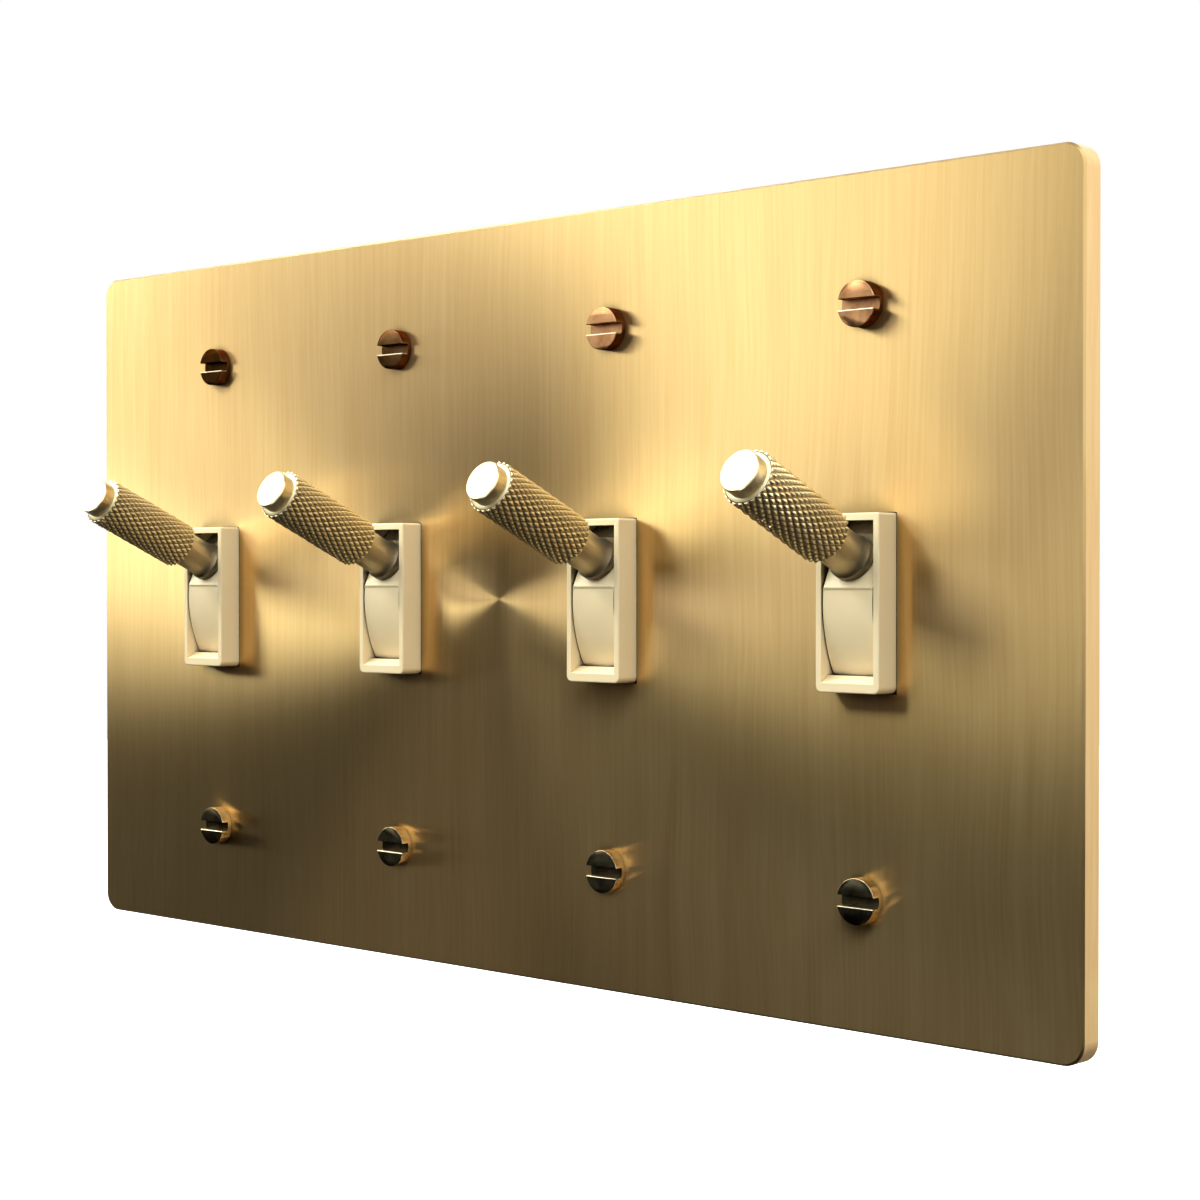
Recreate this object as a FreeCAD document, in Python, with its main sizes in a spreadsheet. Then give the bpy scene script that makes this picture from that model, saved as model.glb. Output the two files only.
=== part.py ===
import FreeCAD, Part
import math
import os
import Sketcher

# Four toggle switches behind one brass wall plate, each worked by a knurled brass lever.
# Millimetres. +Z is up, +X runs along the plate, the front faces -Y and the wall is the plane Y = 0.
# The levers are modelled up, as they stand in the photograph.

GANGS = 4
ENDS = (-1, 1)

SIZES = (
    ("plate_width", 205.4, "face plate along X"),
    ("plate_height", 114.3, "face plate along Z"),
    ("plate_thickness", 3.5, "face plate from the wall to its front"),
    ("plate_corner", 3.0, "radius of the four corners"),
    ("plate_edge", 0.3, "bevel along the front edge"),
    ("pocket_depth", 2.3, "recess in the back for the straps"),
    ("rim_width", 7.0, "rim left around the recess, which lies on the wall"),
    ("pocket_corner", 4.0, "corner radius of the recess"),
    ("gang_pitch", 46.04, "from one lever to the next"),
    ("screw_spacing", 79.0, "from the upper to the lower coin screw"),
    ("screw_head_radius", 3.12, "coin screw head"),
    ("screw_head_height", 1.9, "coin screw head"),
    ("screw_head_edge", 0.12, "bevel round the head"),
    ("screw_slot_width", 1.5, "coin slot"),
    ("screw_slot_depth", 1.2, "coin slot"),
    ("screw_body_radius", 2.1, "plain shoulder of the screw, in plate and strap"),
    ("stud_radius", 1.7, "thread that stands out behind into the wall box"),
    ("stud_length", 16.0, "how far the thread reaches behind the wall plane"),
    ("screw_gap", 0.2, "round the shoulder of the screw"),
    ("bezel_width", 10.44, "cream frame along X"),
    ("bezel_height", 23.7, "cream frame along Z"),
    ("bezel_stand", 3.7, "how far the frame stands out of the plate"),
    ("bezel_low_corner", 0.9, "lower corners of the frame"),
    ("bezel_top_corner", 0.35, "upper corners of the frame"),
    ("bezel_edge", 0.2, "rounding of the frame's front edges"),
    ("bezel_gap", 0.15, "between the frame and the plate or strap round it"),
    ("opening_width", 8.6, "inside of the frame"),
    ("opening_top", 10.9, "upper edge of the opening, above the middle"),
    ("opening_bottom", 9.62, "lower edge of the opening, below the middle"),
    ("slope_rise", 0.96, "sloping sill at the lower edge"),
    ("slope_depth", 1.7, "sloping sill, front to back"),
    ("strap_thickness", 1.4, "steel mounting strap"),
    ("strap_length", 94.0, "strap along Z"),
    ("strap_width", 20.0, "strap beside the window"),
    ("strap_ear_width", 30.0, "ears at both ends of the strap"),
    ("strap_ear_length", 14.0, "ears along Z"),
    ("strap_ear_corner", 2.0, "corners of the ears"),
    ("cover_thickness", 1.6, "front cover of the switch, in one piece with the frame"),
    ("housing_width", 32.0, "switch housing along X"),
    ("housing_height", 56.0, "switch housing along Z"),
    ("housing_depth", 25.0, "switch housing front to back"),
    ("housing_wall", 1.8, "switch housing walls"),
    ("housing_corner", 1.5, "outer corners of the housing"),
    ("rivet_spacing", 44.0, "between the two rivets of one switch"),
    ("rivet_radius", 1.5, "rivet shank"),
    ("rivet_head_radius", 2.6, "rivet heads"),
    ("rivet_head_height", 1.0, "rivet heads"),
    ("rivet_gap", 0.1, "round the rivet"),
    ("rivet_boss_radius", 3.4, "pillars in the housing round the rivets"),
    ("pivot_depth", 6.6, "lever pivot behind the wall plane"),
    ("lever_tilt", 25.0, "degrees that the lever leans up or down"),
    ("pin_radius", 1.0, "pivot pin"),
    ("pin_fit", 0.06, "between the pin and its bores"),
    ("cheek_thickness", 2.0, "bearing cheeks that carry the pin"),
    ("cheek_radius", 4.5, "rounded end of the cheeks"),
    ("block_half", 4.15, "half the height of the carrier's front block"),
    ("block_reach", 13.35, "from the pivot to the block's flat face"),
    ("block_edge", 0.2, "bevel round the block's face"),
    ("carrier_gap", 0.25, "between the carrier and the walls beside it"),
    ("skirt_radius", 20.0, "curve of the skirts"),
    ("skirt_back", 6.33, "centre of the skirt's curve behind the pivot"),
    ("skirt_thickness", 1.5, "skirts"),
    ("skirt_overlap", 0.13, "how far the skirt reaches past the sill"),
    ("swing_gap", 0.25, "round the sweep of the skirts"),
    ("hub_radius", 3.2, "carrier round the pin"),
    ("boss_half", 2.6, "square boss that holds the plunger"),
    ("boss_length", 6.2, "boss behind the pivot"),
    ("root_radius", 2.0, "lever stem inside the carrier"),
    ("root_length", 8.0, "lever stem inside the carrier"),
    ("root_fit", 0.05, "round the root"),
    ("foot_radius", 3.2, "rounded foot of the stem on the block"),
    ("foot_base_radius", 2.9, "foot where it meets the block"),
    ("foot_swell", 0.65, "height over which the foot swells out from the block"),
    ("foot_swell_curve", 0.78, "radius of that lower curve"),
    ("foot_band", 0.65, "straight part of the foot"),
    ("foot_shoulder", 1.3, "height over which the foot narrows to the stem"),
    ("foot_shoulder_curve", 2.275, "radius of that upper curve"),
    ("stem_radius", 2.85, "plain stem between block and grip"),
    ("grip_start", 20.7, "from the pivot to the grip"),
    ("grip_length", 17.0, "knurled grip"),
    ("grip_radius", 3.92, "over the points of the knurling"),
    ("knurl_depth", 0.36, "depth of the knurling"),
    ("spindle_radius", 2.2, "stem inside the grip"),
    ("spindle_fit", 0.05, "round the spindle and in the cap's thread"),
    ("cap_radius", 2.97, "end cap"),
    ("cap_height", 1.95, "end cap in front of the grip"),
    ("cap_edge", 0.15, "bevel of the end cap"),
    ("spigot_radius", 1.2, "cap's thread in the stem"),
    ("spigot_length", 3.7, "cap's thread in the stem"),
    ("plunger_radius", 1.5, "plunger in the boss"),
    ("plunger_fit", 0.1, "round the plunger"),
    ("plunger_bore_end", 1.9, "end of the bore, behind the pivot"),
    ("plunger_top", 4.05, "inner end of the plunger"),
    ("plunger_step", 6.9, "where the plunger narrows"),
    ("tip_radius", 1.2, "ball end of the plunger"),
    ("tip_reach", 8.8, "from the pivot to the centre of the ball"),
    ("spring_radius", 1.2, "middle of the spring's coil"),
    ("spring_wire", 0.3, "spring wire"),
    ("spring_gap", 0.05, "between the spring and what it presses on"),
    ("saddle_back", 11.5, "from the lever pivot to the see-saw's edge"),
    ("saddle_tilt", 8.0, "degrees that the see-saw tips each way"),
    ("saddle_gap", 0.15, "between the ball and the see-saw"),
    ("saddle_thickness", 1.0, "see-saw strip"),
    ("saddle_half", 5.2, "half the height of the see-saw"),
    ("saddle_width", 5.0, "see-saw strip along X"),
    ("button_radius", 0.8, "contact button"),
    ("button_place", 3.9, "contact button below the middle of the see-saw"),
    ("button_face", 1.0, "contact button's face in front of the edge"),
    ("contact_gap", 0.1, "between the closed contacts as modelled"),
    ("edge_radius", 0.3, "rounded edge that carries the see-saw"),
    ("edge_gap", 0.05, "between that edge and the see-saw"),
    ("terminal_thickness", 0.8, "brass terminals"),
    ("terminal_width", 4.4, "upright strips of the terminals"),
    ("terminal_arm_height", 3.0, "arms of the terminals along Z"),
    ("terminal_level", 12.5, "arms of the terminals above and below the middle"),
    ("terminal_plate_height", 6.0, "outer plates of the terminals"),
    ("terminal_plate_front", 12.0, "front edge of the outer plates"),
    ("terminal_fit", 0.1, "round the arms in the housing's slots"),
    ("terminal_screw_radius", 1.75, "terminal and earth screws"),
    ("terminal_head_radius", 3.2, "terminal and earth screws"),
    ("terminal_head_height", 1.8, "terminal and earth screws"),
    ("terminal_head_edge", 0.3, "bevel round their heads"),
    ("terminal_slot_width", 0.9, "their screwdriver slots"),
    ("terminal_slot_depth", 0.9, "their screwdriver slots"),
    ("thread_fit", 0.05, "round their threads in the tapped holes"),
    ("load_foot", 1.2, "load terminal's foot below the see-saw's edge"),
    ("terminal_grip", 0.3, "room for the wire under a terminal screw's head"),
    ("earth_side", 10.0, "earth screw beside the middle of the strap"),
    ("earth_level", 42.0, "earth screw below the middle of the strap"),
)

KNURL_STARTS = 24
KNURL_ROWS = 20
SPRING_TURNS = 3
SPRING_STEPS = 10

doc = FreeCAD.newDocument("ToggleSwitchPlate")
sheet = doc.addObject("Spreadsheet::Sheet", "Sizes")
pieces = []


class Size:
    """A length or angle together with the spreadsheet formula that gives it."""

    def __init__(self, value, formula):
        self.value = value
        self.formula = formula

    def __add__(self, other):
        other = as_size(other)
        return Size(self.value + other.value, f"({self.formula} + {other.formula})")

    def __sub__(self, other):
        other = as_size(other)
        return Size(self.value - other.value, f"({self.formula} - {other.formula})")

    def __mul__(self, other):
        other = as_size(other)
        return Size(self.value * other.value, f"({self.formula} * {other.formula})")

    def __truediv__(self, other):
        other = as_size(other)
        return Size(self.value / other.value, f"({self.formula} / {other.formula})")

    def __radd__(self, other):
        return as_size(other) + self

    def __rsub__(self, other):
        return as_size(other) - self

    def __rmul__(self, other):
        return as_size(other) * self

    def __neg__(self):
        return Size(-self.value, f"(0 - {self.formula})")


def as_size(value):
    """The value itself if it is a Size, or else a plain number as one."""
    if isinstance(value, Size):
        return value
    return Size(float(value), f"({float(value)!r})")


def root(value):
    return Size(math.sqrt(value.value), f"sqrt({value.formula})")


def sine(angle):
    return Size(math.sin(math.radians(angle.value)), f"sin({angle.formula})")


def cosine(angle):
    return Size(math.cos(math.radians(angle.value)), f"cos({angle.formula})")


def fill_sheet():
    """Put every driving size in the sheet under its own alias."""
    for row, (alias, value, meaning) in enumerate(SIZES, start=1):
        sheet.set(f"A{row}", alias)
        sheet.set(f"B{row}", str(value))
        sheet.set(f"C{row}", meaning)
        sheet.setAlias(f"B{row}", alias)
    doc.recompute()


def size(alias):
    return Size(float(sheet.get(alias)), f"Sizes.{alias}")


def bind(feature, name, value):
    """Tie one property of a feature to the sheet."""
    feature.setExpression(name, as_size(value).formula)


def gang_place(gang):
    """Middle of one gang along X."""
    return size("gang_pitch") * (gang - (GANGS - 1) / 2)


def new_body(label, place=(0, 0, 0), turn=None):
    """A body of its own, moved to its place and turned about X."""
    body = doc.addObject("PartDesign::Body", label)
    body.Label = label
    for axis, value in zip("xyz", place):
        bind(body, f"Placement.Base.{axis}", value)
    if turn is not None:
        body.Placement.Rotation = FreeCAD.Rotation(FreeCAD.Vector(1, 0, 0), 1)
        bind(body, "Placement.Rotation.Angle", turn)
    pieces.append(body)
    return body


def attach(feature, body, role, offset):
    """Lay a feature on one of its own body's origin planes."""
    plane = next(item for item in body.Origin.OriginFeatures if item.Role == role)
    feature.AttachmentSupport = (plane, [""])
    feature.MapMode = "FlatFace"
    for axis, value in zip("xyz", offset):
        bind(feature, f"AttachmentOffset.Base.{axis}", value)


def block(body, name, x, y, z, cut=False):
    """A box between pairs of limits along X, Y and Z, added or cut away."""
    kind = "PartDesign::SubtractiveBox" if cut else "PartDesign::AdditiveBox"
    box = body.newObject(kind, f"{body.Name}_{name}")
    attach(box, body, "XY_Plane", (x[0], y[0], z[0]))
    for side, (low, high) in zip(("Length", "Width", "Height"), (x, y, z)):
        bind(box, side, as_size(high) - low)
    return box


def rod(body, name, axis, centre, start, end, radius, cut=False):
    """A cylinder along X, Y or Z; centre holds the other two coordinates in order."""
    kind = "PartDesign::SubtractiveCylinder" if cut else "PartDesign::AdditiveCylinder"
    cylinder = body.newObject(kind, f"{body.Name}_{name}")
    first, second = centre
    if axis == "X":
        attach(cylinder, body, "YZ_Plane", (first, second, start))
    elif axis == "Y":
        attach(cylinder, body, "XZ_Plane", (first, second, -as_size(end)))
    else:
        attach(cylinder, body, "XY_Plane", (first, second, start))
    bind(cylinder, "Radius", radius)
    bind(cylinder, "Height", as_size(end) - start)
    return cylinder


def new_sketch(body, name, role, depth=0):
    """An empty sketch parallel to an origin plane, moved along that plane's normal."""
    sketch = body.newObject("Sketcher::SketchObject", f"{body.Name}_{name}")
    attach(sketch, body, role, (0, 0, depth))
    return sketch


def fix_point(sketch, edge, end, u, v):
    """Hold one end of an edge at its two coordinates."""
    for kind, value in (("DistanceX", as_size(u)), ("DistanceY", as_size(v))):
        number = sketch.addConstraint(Sketcher.Constraint(kind, -1, 1, edge, end, value.value))
        sketch.setExpression(f"Constraints[{number}]", value.formula)


def arc_between(start, end, radius, side):
    """The short arc from start to end, with its centre to the left (1) or right (-1) of the way."""
    along = end - start
    across = FreeCAD.Vector(-along.y, along.x, 0).normalize()
    height = math.sqrt(radius ** 2 - (along.Length / 2) ** 2)
    centre = (start + end) * 0.5 + across * height * side
    first, last = (start, end) if side > 0 else (end, start)
    angles = [math.atan2(point.y - centre.y, point.x - centre.x) for point in (first, last)]
    if angles[1] < angles[0]:
        angles[1] += 2 * math.pi
    circle = Part.Circle(centre, FreeCAD.Vector(0, 0, 1), radius)
    return Part.ArcOfCircle(circle, angles[0], angles[1])


def outline(sketch, corners):
    """A closed outline. A corner is (u, v), or (u, v, radius, side) where an arc leads to it."""
    points = [FreeCAD.Vector(as_size(c[0]).value, as_size(c[1]).value, 0) for c in corners]
    ends = []
    for index, corner in enumerate(corners):
        start, end = points[index - 1], points[index]
        if len(corner) == 2:
            edge = sketch.addGeometry(Part.LineSegment(start, end), False)
            ends.append((edge, 1, 2))
            continue
        radius, side = as_size(corner[2]), corner[3]
        edge = sketch.addGeometry(arc_between(start, end, radius.value, side), False)
        ends.append((edge, 1, 2) if side > 0 else (edge, 2, 1))
    for index, (edge, first, last) in enumerate(ends):
        following, after, _ = ends[(index + 1) % len(ends)]
        sketch.addConstraint(Sketcher.Constraint("Coincident", edge, last, following, after))
        fix_point(sketch, edge, last, corners[index][0], corners[index][1])
    for (edge, first, last), corner in zip(ends, corners):
        if len(corner) == 4:
            radius = as_size(corner[2])
            number = sketch.addConstraint(Sketcher.Constraint("Radius", edge, radius.value))
            sketch.setExpression(f"Constraints[{number}]", radius.formula)


def rectangle(sketch, u, v):
    outline(sketch, ((u[0], v[0]), (u[1], v[0]), (u[1], v[1]), (u[0], v[1])))


def rounded_rectangle(sketch, half_width, half_height, corner):
    """A rectangle about the origin with four quarter-circle corners."""
    near, far = half_width - corner, half_height - corner
    outline(sketch, (
        (near, -half_height),
        (half_width, -far, corner, 1),
        (half_width, far),
        (near, half_height, corner, 1),
        (-near, half_height),
        (-half_width, far, corner, 1),
        (-half_width, -far),
        (-near, -half_height, corner, 1),
    ))


def circle(sketch, u, v, radius):
    u, v, radius = as_size(u), as_size(v), as_size(radius)
    centre = FreeCAD.Vector(u.value, v.value, 0)
    shape = Part.Circle(centre, FreeCAD.Vector(0, 0, 1), radius.value)
    edge = sketch.addGeometry(shape, False)
    fix_point(sketch, edge, 3, u, v)
    number = sketch.addConstraint(Sketcher.Constraint("Radius", edge, radius.value))
    sketch.setExpression(f"Constraints[{number}]", radius.formula)


def pad(body, sketch, length, middle=False):
    feature = body.newObject("PartDesign::Pad", f"{sketch.Name}_pad")
    feature.Profile = sketch
    feature.SideType = "Symmetric" if middle else "One side"
    bind(feature, "Length", length)
    return feature


def pocket(body, sketch, length):
    """Cut the sketch through, by the same length on both sides of its plane."""
    feature = body.newObject("PartDesign::Pocket", f"{sketch.Name}_pocket")
    feature.Profile = sketch
    feature.SideType = "Symmetric"
    bind(feature, "Length", length)
    return feature


def turned(body, name, corners):
    """A piece turned about its own Z axis from half its section, given as radius and height."""
    sketch = new_sketch(body, name, "XZ_Plane")
    outline(sketch, corners)
    feature = body.newObject("PartDesign::Revolution", f"{sketch.Name}_turned")
    feature.Profile = sketch
    feature.ReferenceAxis = (sketch, ["V_Axis"])
    return feature


def ease(body, kind, name, base, chosen, amount):
    """Fillet or chamfer those edges of the base that the chosen rule accepts."""
    doc.recompute()
    edges = [f"Edge{n}" for n, edge in enumerate(base.Shape.Edges, start=1) if chosen(edge)]
    feature = body.newObject(f"PartDesign::{kind}", f"{body.Name}_{name}")
    feature.Base = (base, edges)
    bind(feature, "Radius" if kind == "Fillet" else "Size", amount)
    return feature


def runs_along(edge, axis):
    """Whether a straight edge is parallel to an axis."""
    box = edge.BoundBox
    spans = {"x": box.XLength, "y": box.YLength, "z": box.ZLength}
    return all(span < 1e-6 for name, span in spans.items() if name != axis)


def lies_at(edge, axis, value):
    """Whether an edge lies wholly at one coordinate."""
    return all(abs(getattr(vertex.Point, axis) - value) < 1e-6 for vertex in edge.Vertexes)


def loose_part(label, shape, place=(0, 0, 0), turn=0):
    """A piece whose shape is made by calculation, put in its place."""
    feature = doc.addObject("Part::Feature", label)
    feature.Label = label
    feature.Shape = shape
    spot = FreeCAD.Vector(*[as_size(value).value for value in place])
    turning = FreeCAD.Rotation(FreeCAD.Vector(1, 0, 0), as_size(turn).value)
    feature.Placement = FreeCAD.Placement(spot, turning)
    pieces.append(feature)
    return feature


def solid_of_facets(facets):
    faces = [Part.Face(Part.makePolygon([*corners, corners[0]])) for corners in facets]
    return Part.makeSolid(Part.makeShell(faces))


def cylinder(start, direction, length, radius):
    return Part.makeCylinder(radius, length, FreeCAD.Vector(*start), FreeCAD.Vector(*direction))


def slotted_head(radius, height, edge, slot_width, slot_depth):
    """A round screw head that stands along -Y from Y = 0, with its slot along X."""
    head = cylinder((0, -height, 0), (0, 1, 0), height, radius)
    rim = [item for item in head.Edges if lies_at(item, "y", -height)]
    head = head.makeChamfer(edge, rim)
    slot = Part.makeBox(4 * radius, 2 * slot_depth, slot_width)
    slot.translate(FreeCAD.Vector(-2 * radius, -height - slot_depth, -slot_width / 2))
    return head.cut(slot)


def group(shapes):
    return Part.makeCompound(list(shapes))


def lever_placement(gang):
    """Levers stand on the pivot with their own Z axis along the stem."""
    return (gang_place(gang), size("pivot_depth"), 0), 90 - size("lever_tilt")


def front_face():
    return size("plate_thickness") + size("bezel_stand")


def strap_back():
    return size("pocket_depth") - size("strap_thickness")


def cover_back():
    return size("cover_thickness") - strap_back()


def housing_back():
    return cover_back() + size("housing_depth")


def skirt_tip():
    """Skirt tip behind the sill with the lever up, as distances in front of and below the pivot."""
    drop = size("opening_bottom") + size("skirt_overlap")
    ahead = root(size("skirt_radius") * size("skirt_radius") - drop * drop) - size("skirt_back")
    return ahead, drop


def swing_radius():
    """Radius about the pivot that the skirts need, with the running gap."""
    ahead, drop = skirt_tip()
    return root(ahead * ahead + drop * drop) + size("swing_gap")


def saddle_depth():
    return size("pivot_depth") + size("saddle_back")


def build_face_plate():
    """Solid brass plate, milled out behind, with four frame openings and eight screw holes."""
    body = new_body("face_plate")
    half_width = size("plate_width") / 2
    half_height = size("plate_height") / 2
    sheet_sketch = new_sketch(body, "sheet", "XZ_Plane")
    rectangle(sheet_sketch, (-half_width, half_width), (-half_height, half_height))
    sheet_pad = pad(body, sheet_sketch, size("plate_thickness"))
    rounded = ease(body, "Fillet", "corners", sheet_pad,
                   lambda edge: runs_along(edge, "y"), size("plate_corner"))
    front = -size("plate_thickness").value
    ease(body, "Chamfer", "edge", rounded,
         lambda edge: lies_at(edge, "y", front), size("plate_edge"))
    inner_width = half_width - size("rim_width")
    inner_height = half_height - size("rim_width")
    recess = new_sketch(body, "recess", "XZ_Plane")
    rounded_rectangle(recess, inner_width, inner_height, size("pocket_corner"))
    pocket(body, recess, size("pocket_depth") * 2)
    cuts = new_sketch(body, "openings", "XZ_Plane")
    half_opening = size("bezel_width") / 2 + size("bezel_gap")
    tall_opening = size("bezel_height") / 2 + size("bezel_gap")
    for gang in range(GANGS):
        middle = gang_place(gang)
        rectangle(cuts, (middle - half_opening, middle + half_opening), (-tall_opening, tall_opening))
        for end in ENDS:
            hole = size("screw_body_radius") + size("screw_gap")
            circle(cuts, middle, size("screw_spacing") / 2 * end, hole)
    pocket(body, cuts, size("plate_thickness") * 3)


def build_mounting_strap(gang):
    """Steel strap with wide ears, a window for the frame and holes for screws and rivets."""
    body = new_body(f"mounting_strap_{gang + 1}", (gang_place(gang), 0, 0))
    waist = size("strap_width") / 2
    ear = size("strap_ear_width") / 2
    end = size("strap_length") / 2
    neck = end - size("strap_ear_length")
    flat = new_sketch(body, "flat", "XZ_Plane", strap_back())
    outline(flat, (
        (ear, -end), (ear, -neck), (waist, -neck), (waist, neck), (ear, neck), (ear, end),
        (-ear, end), (-ear, neck), (-waist, neck), (-waist, -neck), (-ear, -neck), (-ear, -end),
    ))
    strip = pad(body, flat, size("strap_thickness"))
    between = (waist + ear).value / 2
    ease(body, "Fillet", "ears", strip,
         lambda edge: runs_along(edge, "y") and abs(edge.CenterOfMass.x) > between,
         size("strap_ear_corner"))
    cuts = new_sketch(body, "cuts", "XZ_Plane", strap_back())
    window = size("bezel_width") / 2 + size("bezel_gap")
    rectangle(cuts, (-window, window), (-swing_radius(), swing_radius()))
    for side in ENDS:
        hole = size("screw_body_radius") + size("screw_gap")
        circle(cuts, 0, size("screw_spacing") / 2 * side, hole)
        circle(cuts, 0, size("rivet_spacing") / 2 * side, size("rivet_radius") + size("rivet_gap"))
    circle(cuts, size("earth_side"), -size("earth_level"),
           size("terminal_screw_radius") + size("thread_fit"))
    pocket(body, cuts, size("strap_thickness") * 4)


def build_toggle_frame(gang):
    """Cream cover moulding: the frame round the lever, the switch's cover and the pin's cheeks."""
    body = new_body(f"toggle_frame_{gang + 1}", (gang_place(gang), 0, 0))
    half_width = size("bezel_width") / 2
    half_height = size("bezel_height") / 2
    front = -front_face()
    side = size("opening_width") / 2
    bezel = block(body, "bezel", (-half_width, half_width), (front, -strap_back()),
                  (-half_height, half_height))
    low = ease(body, "Fillet", "low_corners", bezel,
               lambda edge: runs_along(edge, "y") and edge.CenterOfMass.z < 0,
               size("bezel_low_corner"))
    high = ease(body, "Fillet", "top_corners", low,
                lambda edge: runs_along(edge, "y") and lies_at(edge, "z", half_height.value),
                size("bezel_top_corner"))
    ease(body, "Fillet", "front_edges", high,
         lambda edge: lies_at(edge, "y", front.value), size("bezel_edge"))
    cover_half = size("housing_width") / 2
    cover_tall = size("housing_height") / 2
    block(body, "cover", (-cover_half, cover_half), (-strap_back(), cover_back()),
          (-cover_tall, cover_tall))
    outer = side + size("cheek_thickness")
    reach = size("cheek_radius")
    for name, low_x, high_x in (("left", -outer, -side), ("right", side, outer)):
        block(body, f"{name}_cheek", (low_x, high_x), (cover_back(), size("pivot_depth")),
              (-reach, reach))
        rod(body, f"{name}_eye", "X", (size("pivot_depth"), 0), low_x, high_x, reach)
    block(body, "opening", (-side, side), (front * 2, size("pivot_depth")),
          (-size("opening_bottom"), size("opening_top")), cut=True)
    rod(body, "swing", "X", (size("pivot_depth"), 0), -side, side, swing_radius(), cut=True)
    sill = new_sketch(body, "sill", "YZ_Plane")
    outline(sill, (
        (front - size("bezel_edge"), -size("opening_bottom")),
        (front - size("bezel_edge"), -size("opening_bottom") - size("slope_rise")),
        (front, -size("opening_bottom") - size("slope_rise")),
        (front + size("slope_depth"), -size("opening_bottom")),
    ))
    pocket(body, sill, size("opening_width"))
    hole = size("pin_radius") + size("pin_fit")
    rod(body, "pin_bore", "X", (size("pivot_depth"), 0), -outer * 2, outer * 2, hole, cut=True)
    for side_name, end in zip(("low", "high"), ENDS):
        rod(body, f"{side_name}_rivet_hole", "Y", (0, size("rivet_spacing") / 2 * end),
            front, size("pivot_depth"), size("rivet_radius") + size("rivet_gap"), cut=True)


def build_switch_body(gang):
    """Housing moulding, open at the front, with rivet pillars and openings for the terminals."""
    body = new_body(f"switch_body_{gang + 1}", (gang_place(gang), 0, 0))
    half_width = size("housing_width") / 2
    half_height = size("housing_height") / 2
    wall = size("housing_wall")
    inner_back = housing_back() - wall
    case = block(body, "case", (-half_width, half_width), (cover_back(), housing_back()),
                 (-half_height, half_height))
    ease(body, "Fillet", "corners", case, lambda edge: runs_along(edge, "y"),
         size("housing_corner"))
    block(body, "inside", (-half_width + wall, half_width - wall),
          (-size("plate_thickness"), inner_back), (-half_height + wall, half_height - wall), cut=True)
    for name, end in zip(("low", "high"), ENDS):
        centre = (0, size("rivet_spacing") / 2 * end)
        rod(body, f"{name}_pillar", "Y", centre, cover_back(), inner_back,
            size("rivet_boss_radius"))
        rod(body, f"{name}_rivet_hole", "Y", centre, -size("plate_thickness"),
            housing_back() + wall, size("rivet_radius") + size("rivet_gap"), cut=True)
    level = size("terminal_level")
    arm = size("terminal_arm_height") / 2 + size("terminal_fit")
    fit = size("terminal_fit")
    thickness = size("terminal_thickness")
    inside, outside = half_width - wall * 2, half_width + wall
    slots = (
        ("line", -level, line_face(), line_face() + thickness),
        ("load", level, inner_back - thickness, inner_back),
    )
    for name, height, near, far in slots:
        block(body, f"{name}_slot", (inside, outside), (near - fit, far + fit),
              (height - arm, height + arm), cut=True)
        rod(body, f"{name}_screw_hole", "X", (terminal_screw_depth(), height), inside, outside,
            size("terminal_screw_radius") + size("screw_gap"), cut=True)


def terminal_screw_depth():
    return size("terminal_plate_front") + size("terminal_plate_height") / 2


def line_face():
    """Front of the fixed contact: just behind the tipped contact button."""
    tilt = size("saddle_tilt")
    low_edge = size("button_place") + size("button_radius")
    behind = low_edge * sine(tilt) - size("button_face") * cosine(tilt)
    return saddle_depth() + behind + size("contact_gap")


def outer_plate(body, back, level):
    """The terminal's screw plate outside the housing, tapped for its screw."""
    start = size("housing_width") / 2 + size("terminal_fit")
    end = start + size("terminal_thickness")
    half = size("terminal_plate_height") / 2
    block(body, "screw_plate", (start, end), (size("terminal_plate_front"), back),
          (level - half, level + half))
    beyond = size("terminal_thickness")
    rod(body, "thread", "X", (terminal_screw_depth(), level), start - beyond, end + beyond,
        size("terminal_screw_radius") + size("thread_fit"), cut=True)


def build_line_terminal(gang):
    """Brass terminal with the fixed contact behind the lower arm of the see-saw."""
    body = new_body(f"line_terminal_{gang + 1}", (gang_place(gang), 0, 0))
    half = size("terminal_width") / 2
    arm = size("terminal_arm_height") / 2
    level = -size("terminal_level")
    front = line_face()
    back = front + size("terminal_thickness")
    top = size("button_radius") - size("button_place")
    block(body, "contact", (-half, half), (front, back), (level - arm, top))
    end = size("housing_width") / 2 + size("terminal_fit") + size("terminal_thickness")
    block(body, "arm", (-half, end), (front, back), (level - arm, level + arm))
    outer_plate(body, back, level)


def build_load_terminal(gang):
    """Brass terminal with the rounded edge on which the see-saw rocks."""
    body = new_body(f"load_terminal_{gang + 1}", (gang_place(gang), 0, 0))
    half = size("terminal_width") / 2
    arm = size("terminal_arm_height") / 2
    level = size("terminal_level")
    back = housing_back() - size("housing_wall")
    front = back - size("terminal_thickness")
    edge = size("edge_radius")
    block(body, "foot", (-half, half), (front, back), (-size("load_foot"), level + arm))
    block(body, "web", (-half, half), (saddle_depth(), front), (-edge, edge))
    rod(body, "edge", "X", (saddle_depth(), 0), -half, half, edge)
    end = size("housing_width") / 2 + size("terminal_fit") + size("terminal_thickness")
    block(body, "arm", (-half, end), (front, back), (level - arm, level + arm))
    outer_plate(body, back, level)


def tip_path_radius():
    """Radius of the ball's path as the tipping see-saw sees it, and the path's foremost point."""
    reach, back = size("tip_reach"), size("saddle_back")
    lean, tip = size("lever_tilt"), size("saddle_tilt")
    depth = reach * cosine(lean) - back
    height = reach * sine(lean)
    across = depth * cosine(tip) - height * sine(tip)
    along = depth * sine(tip) + height * cosine(tip)
    rise = reach - back - across
    return (along * along + rise * rise) / (rise * 2)


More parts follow.
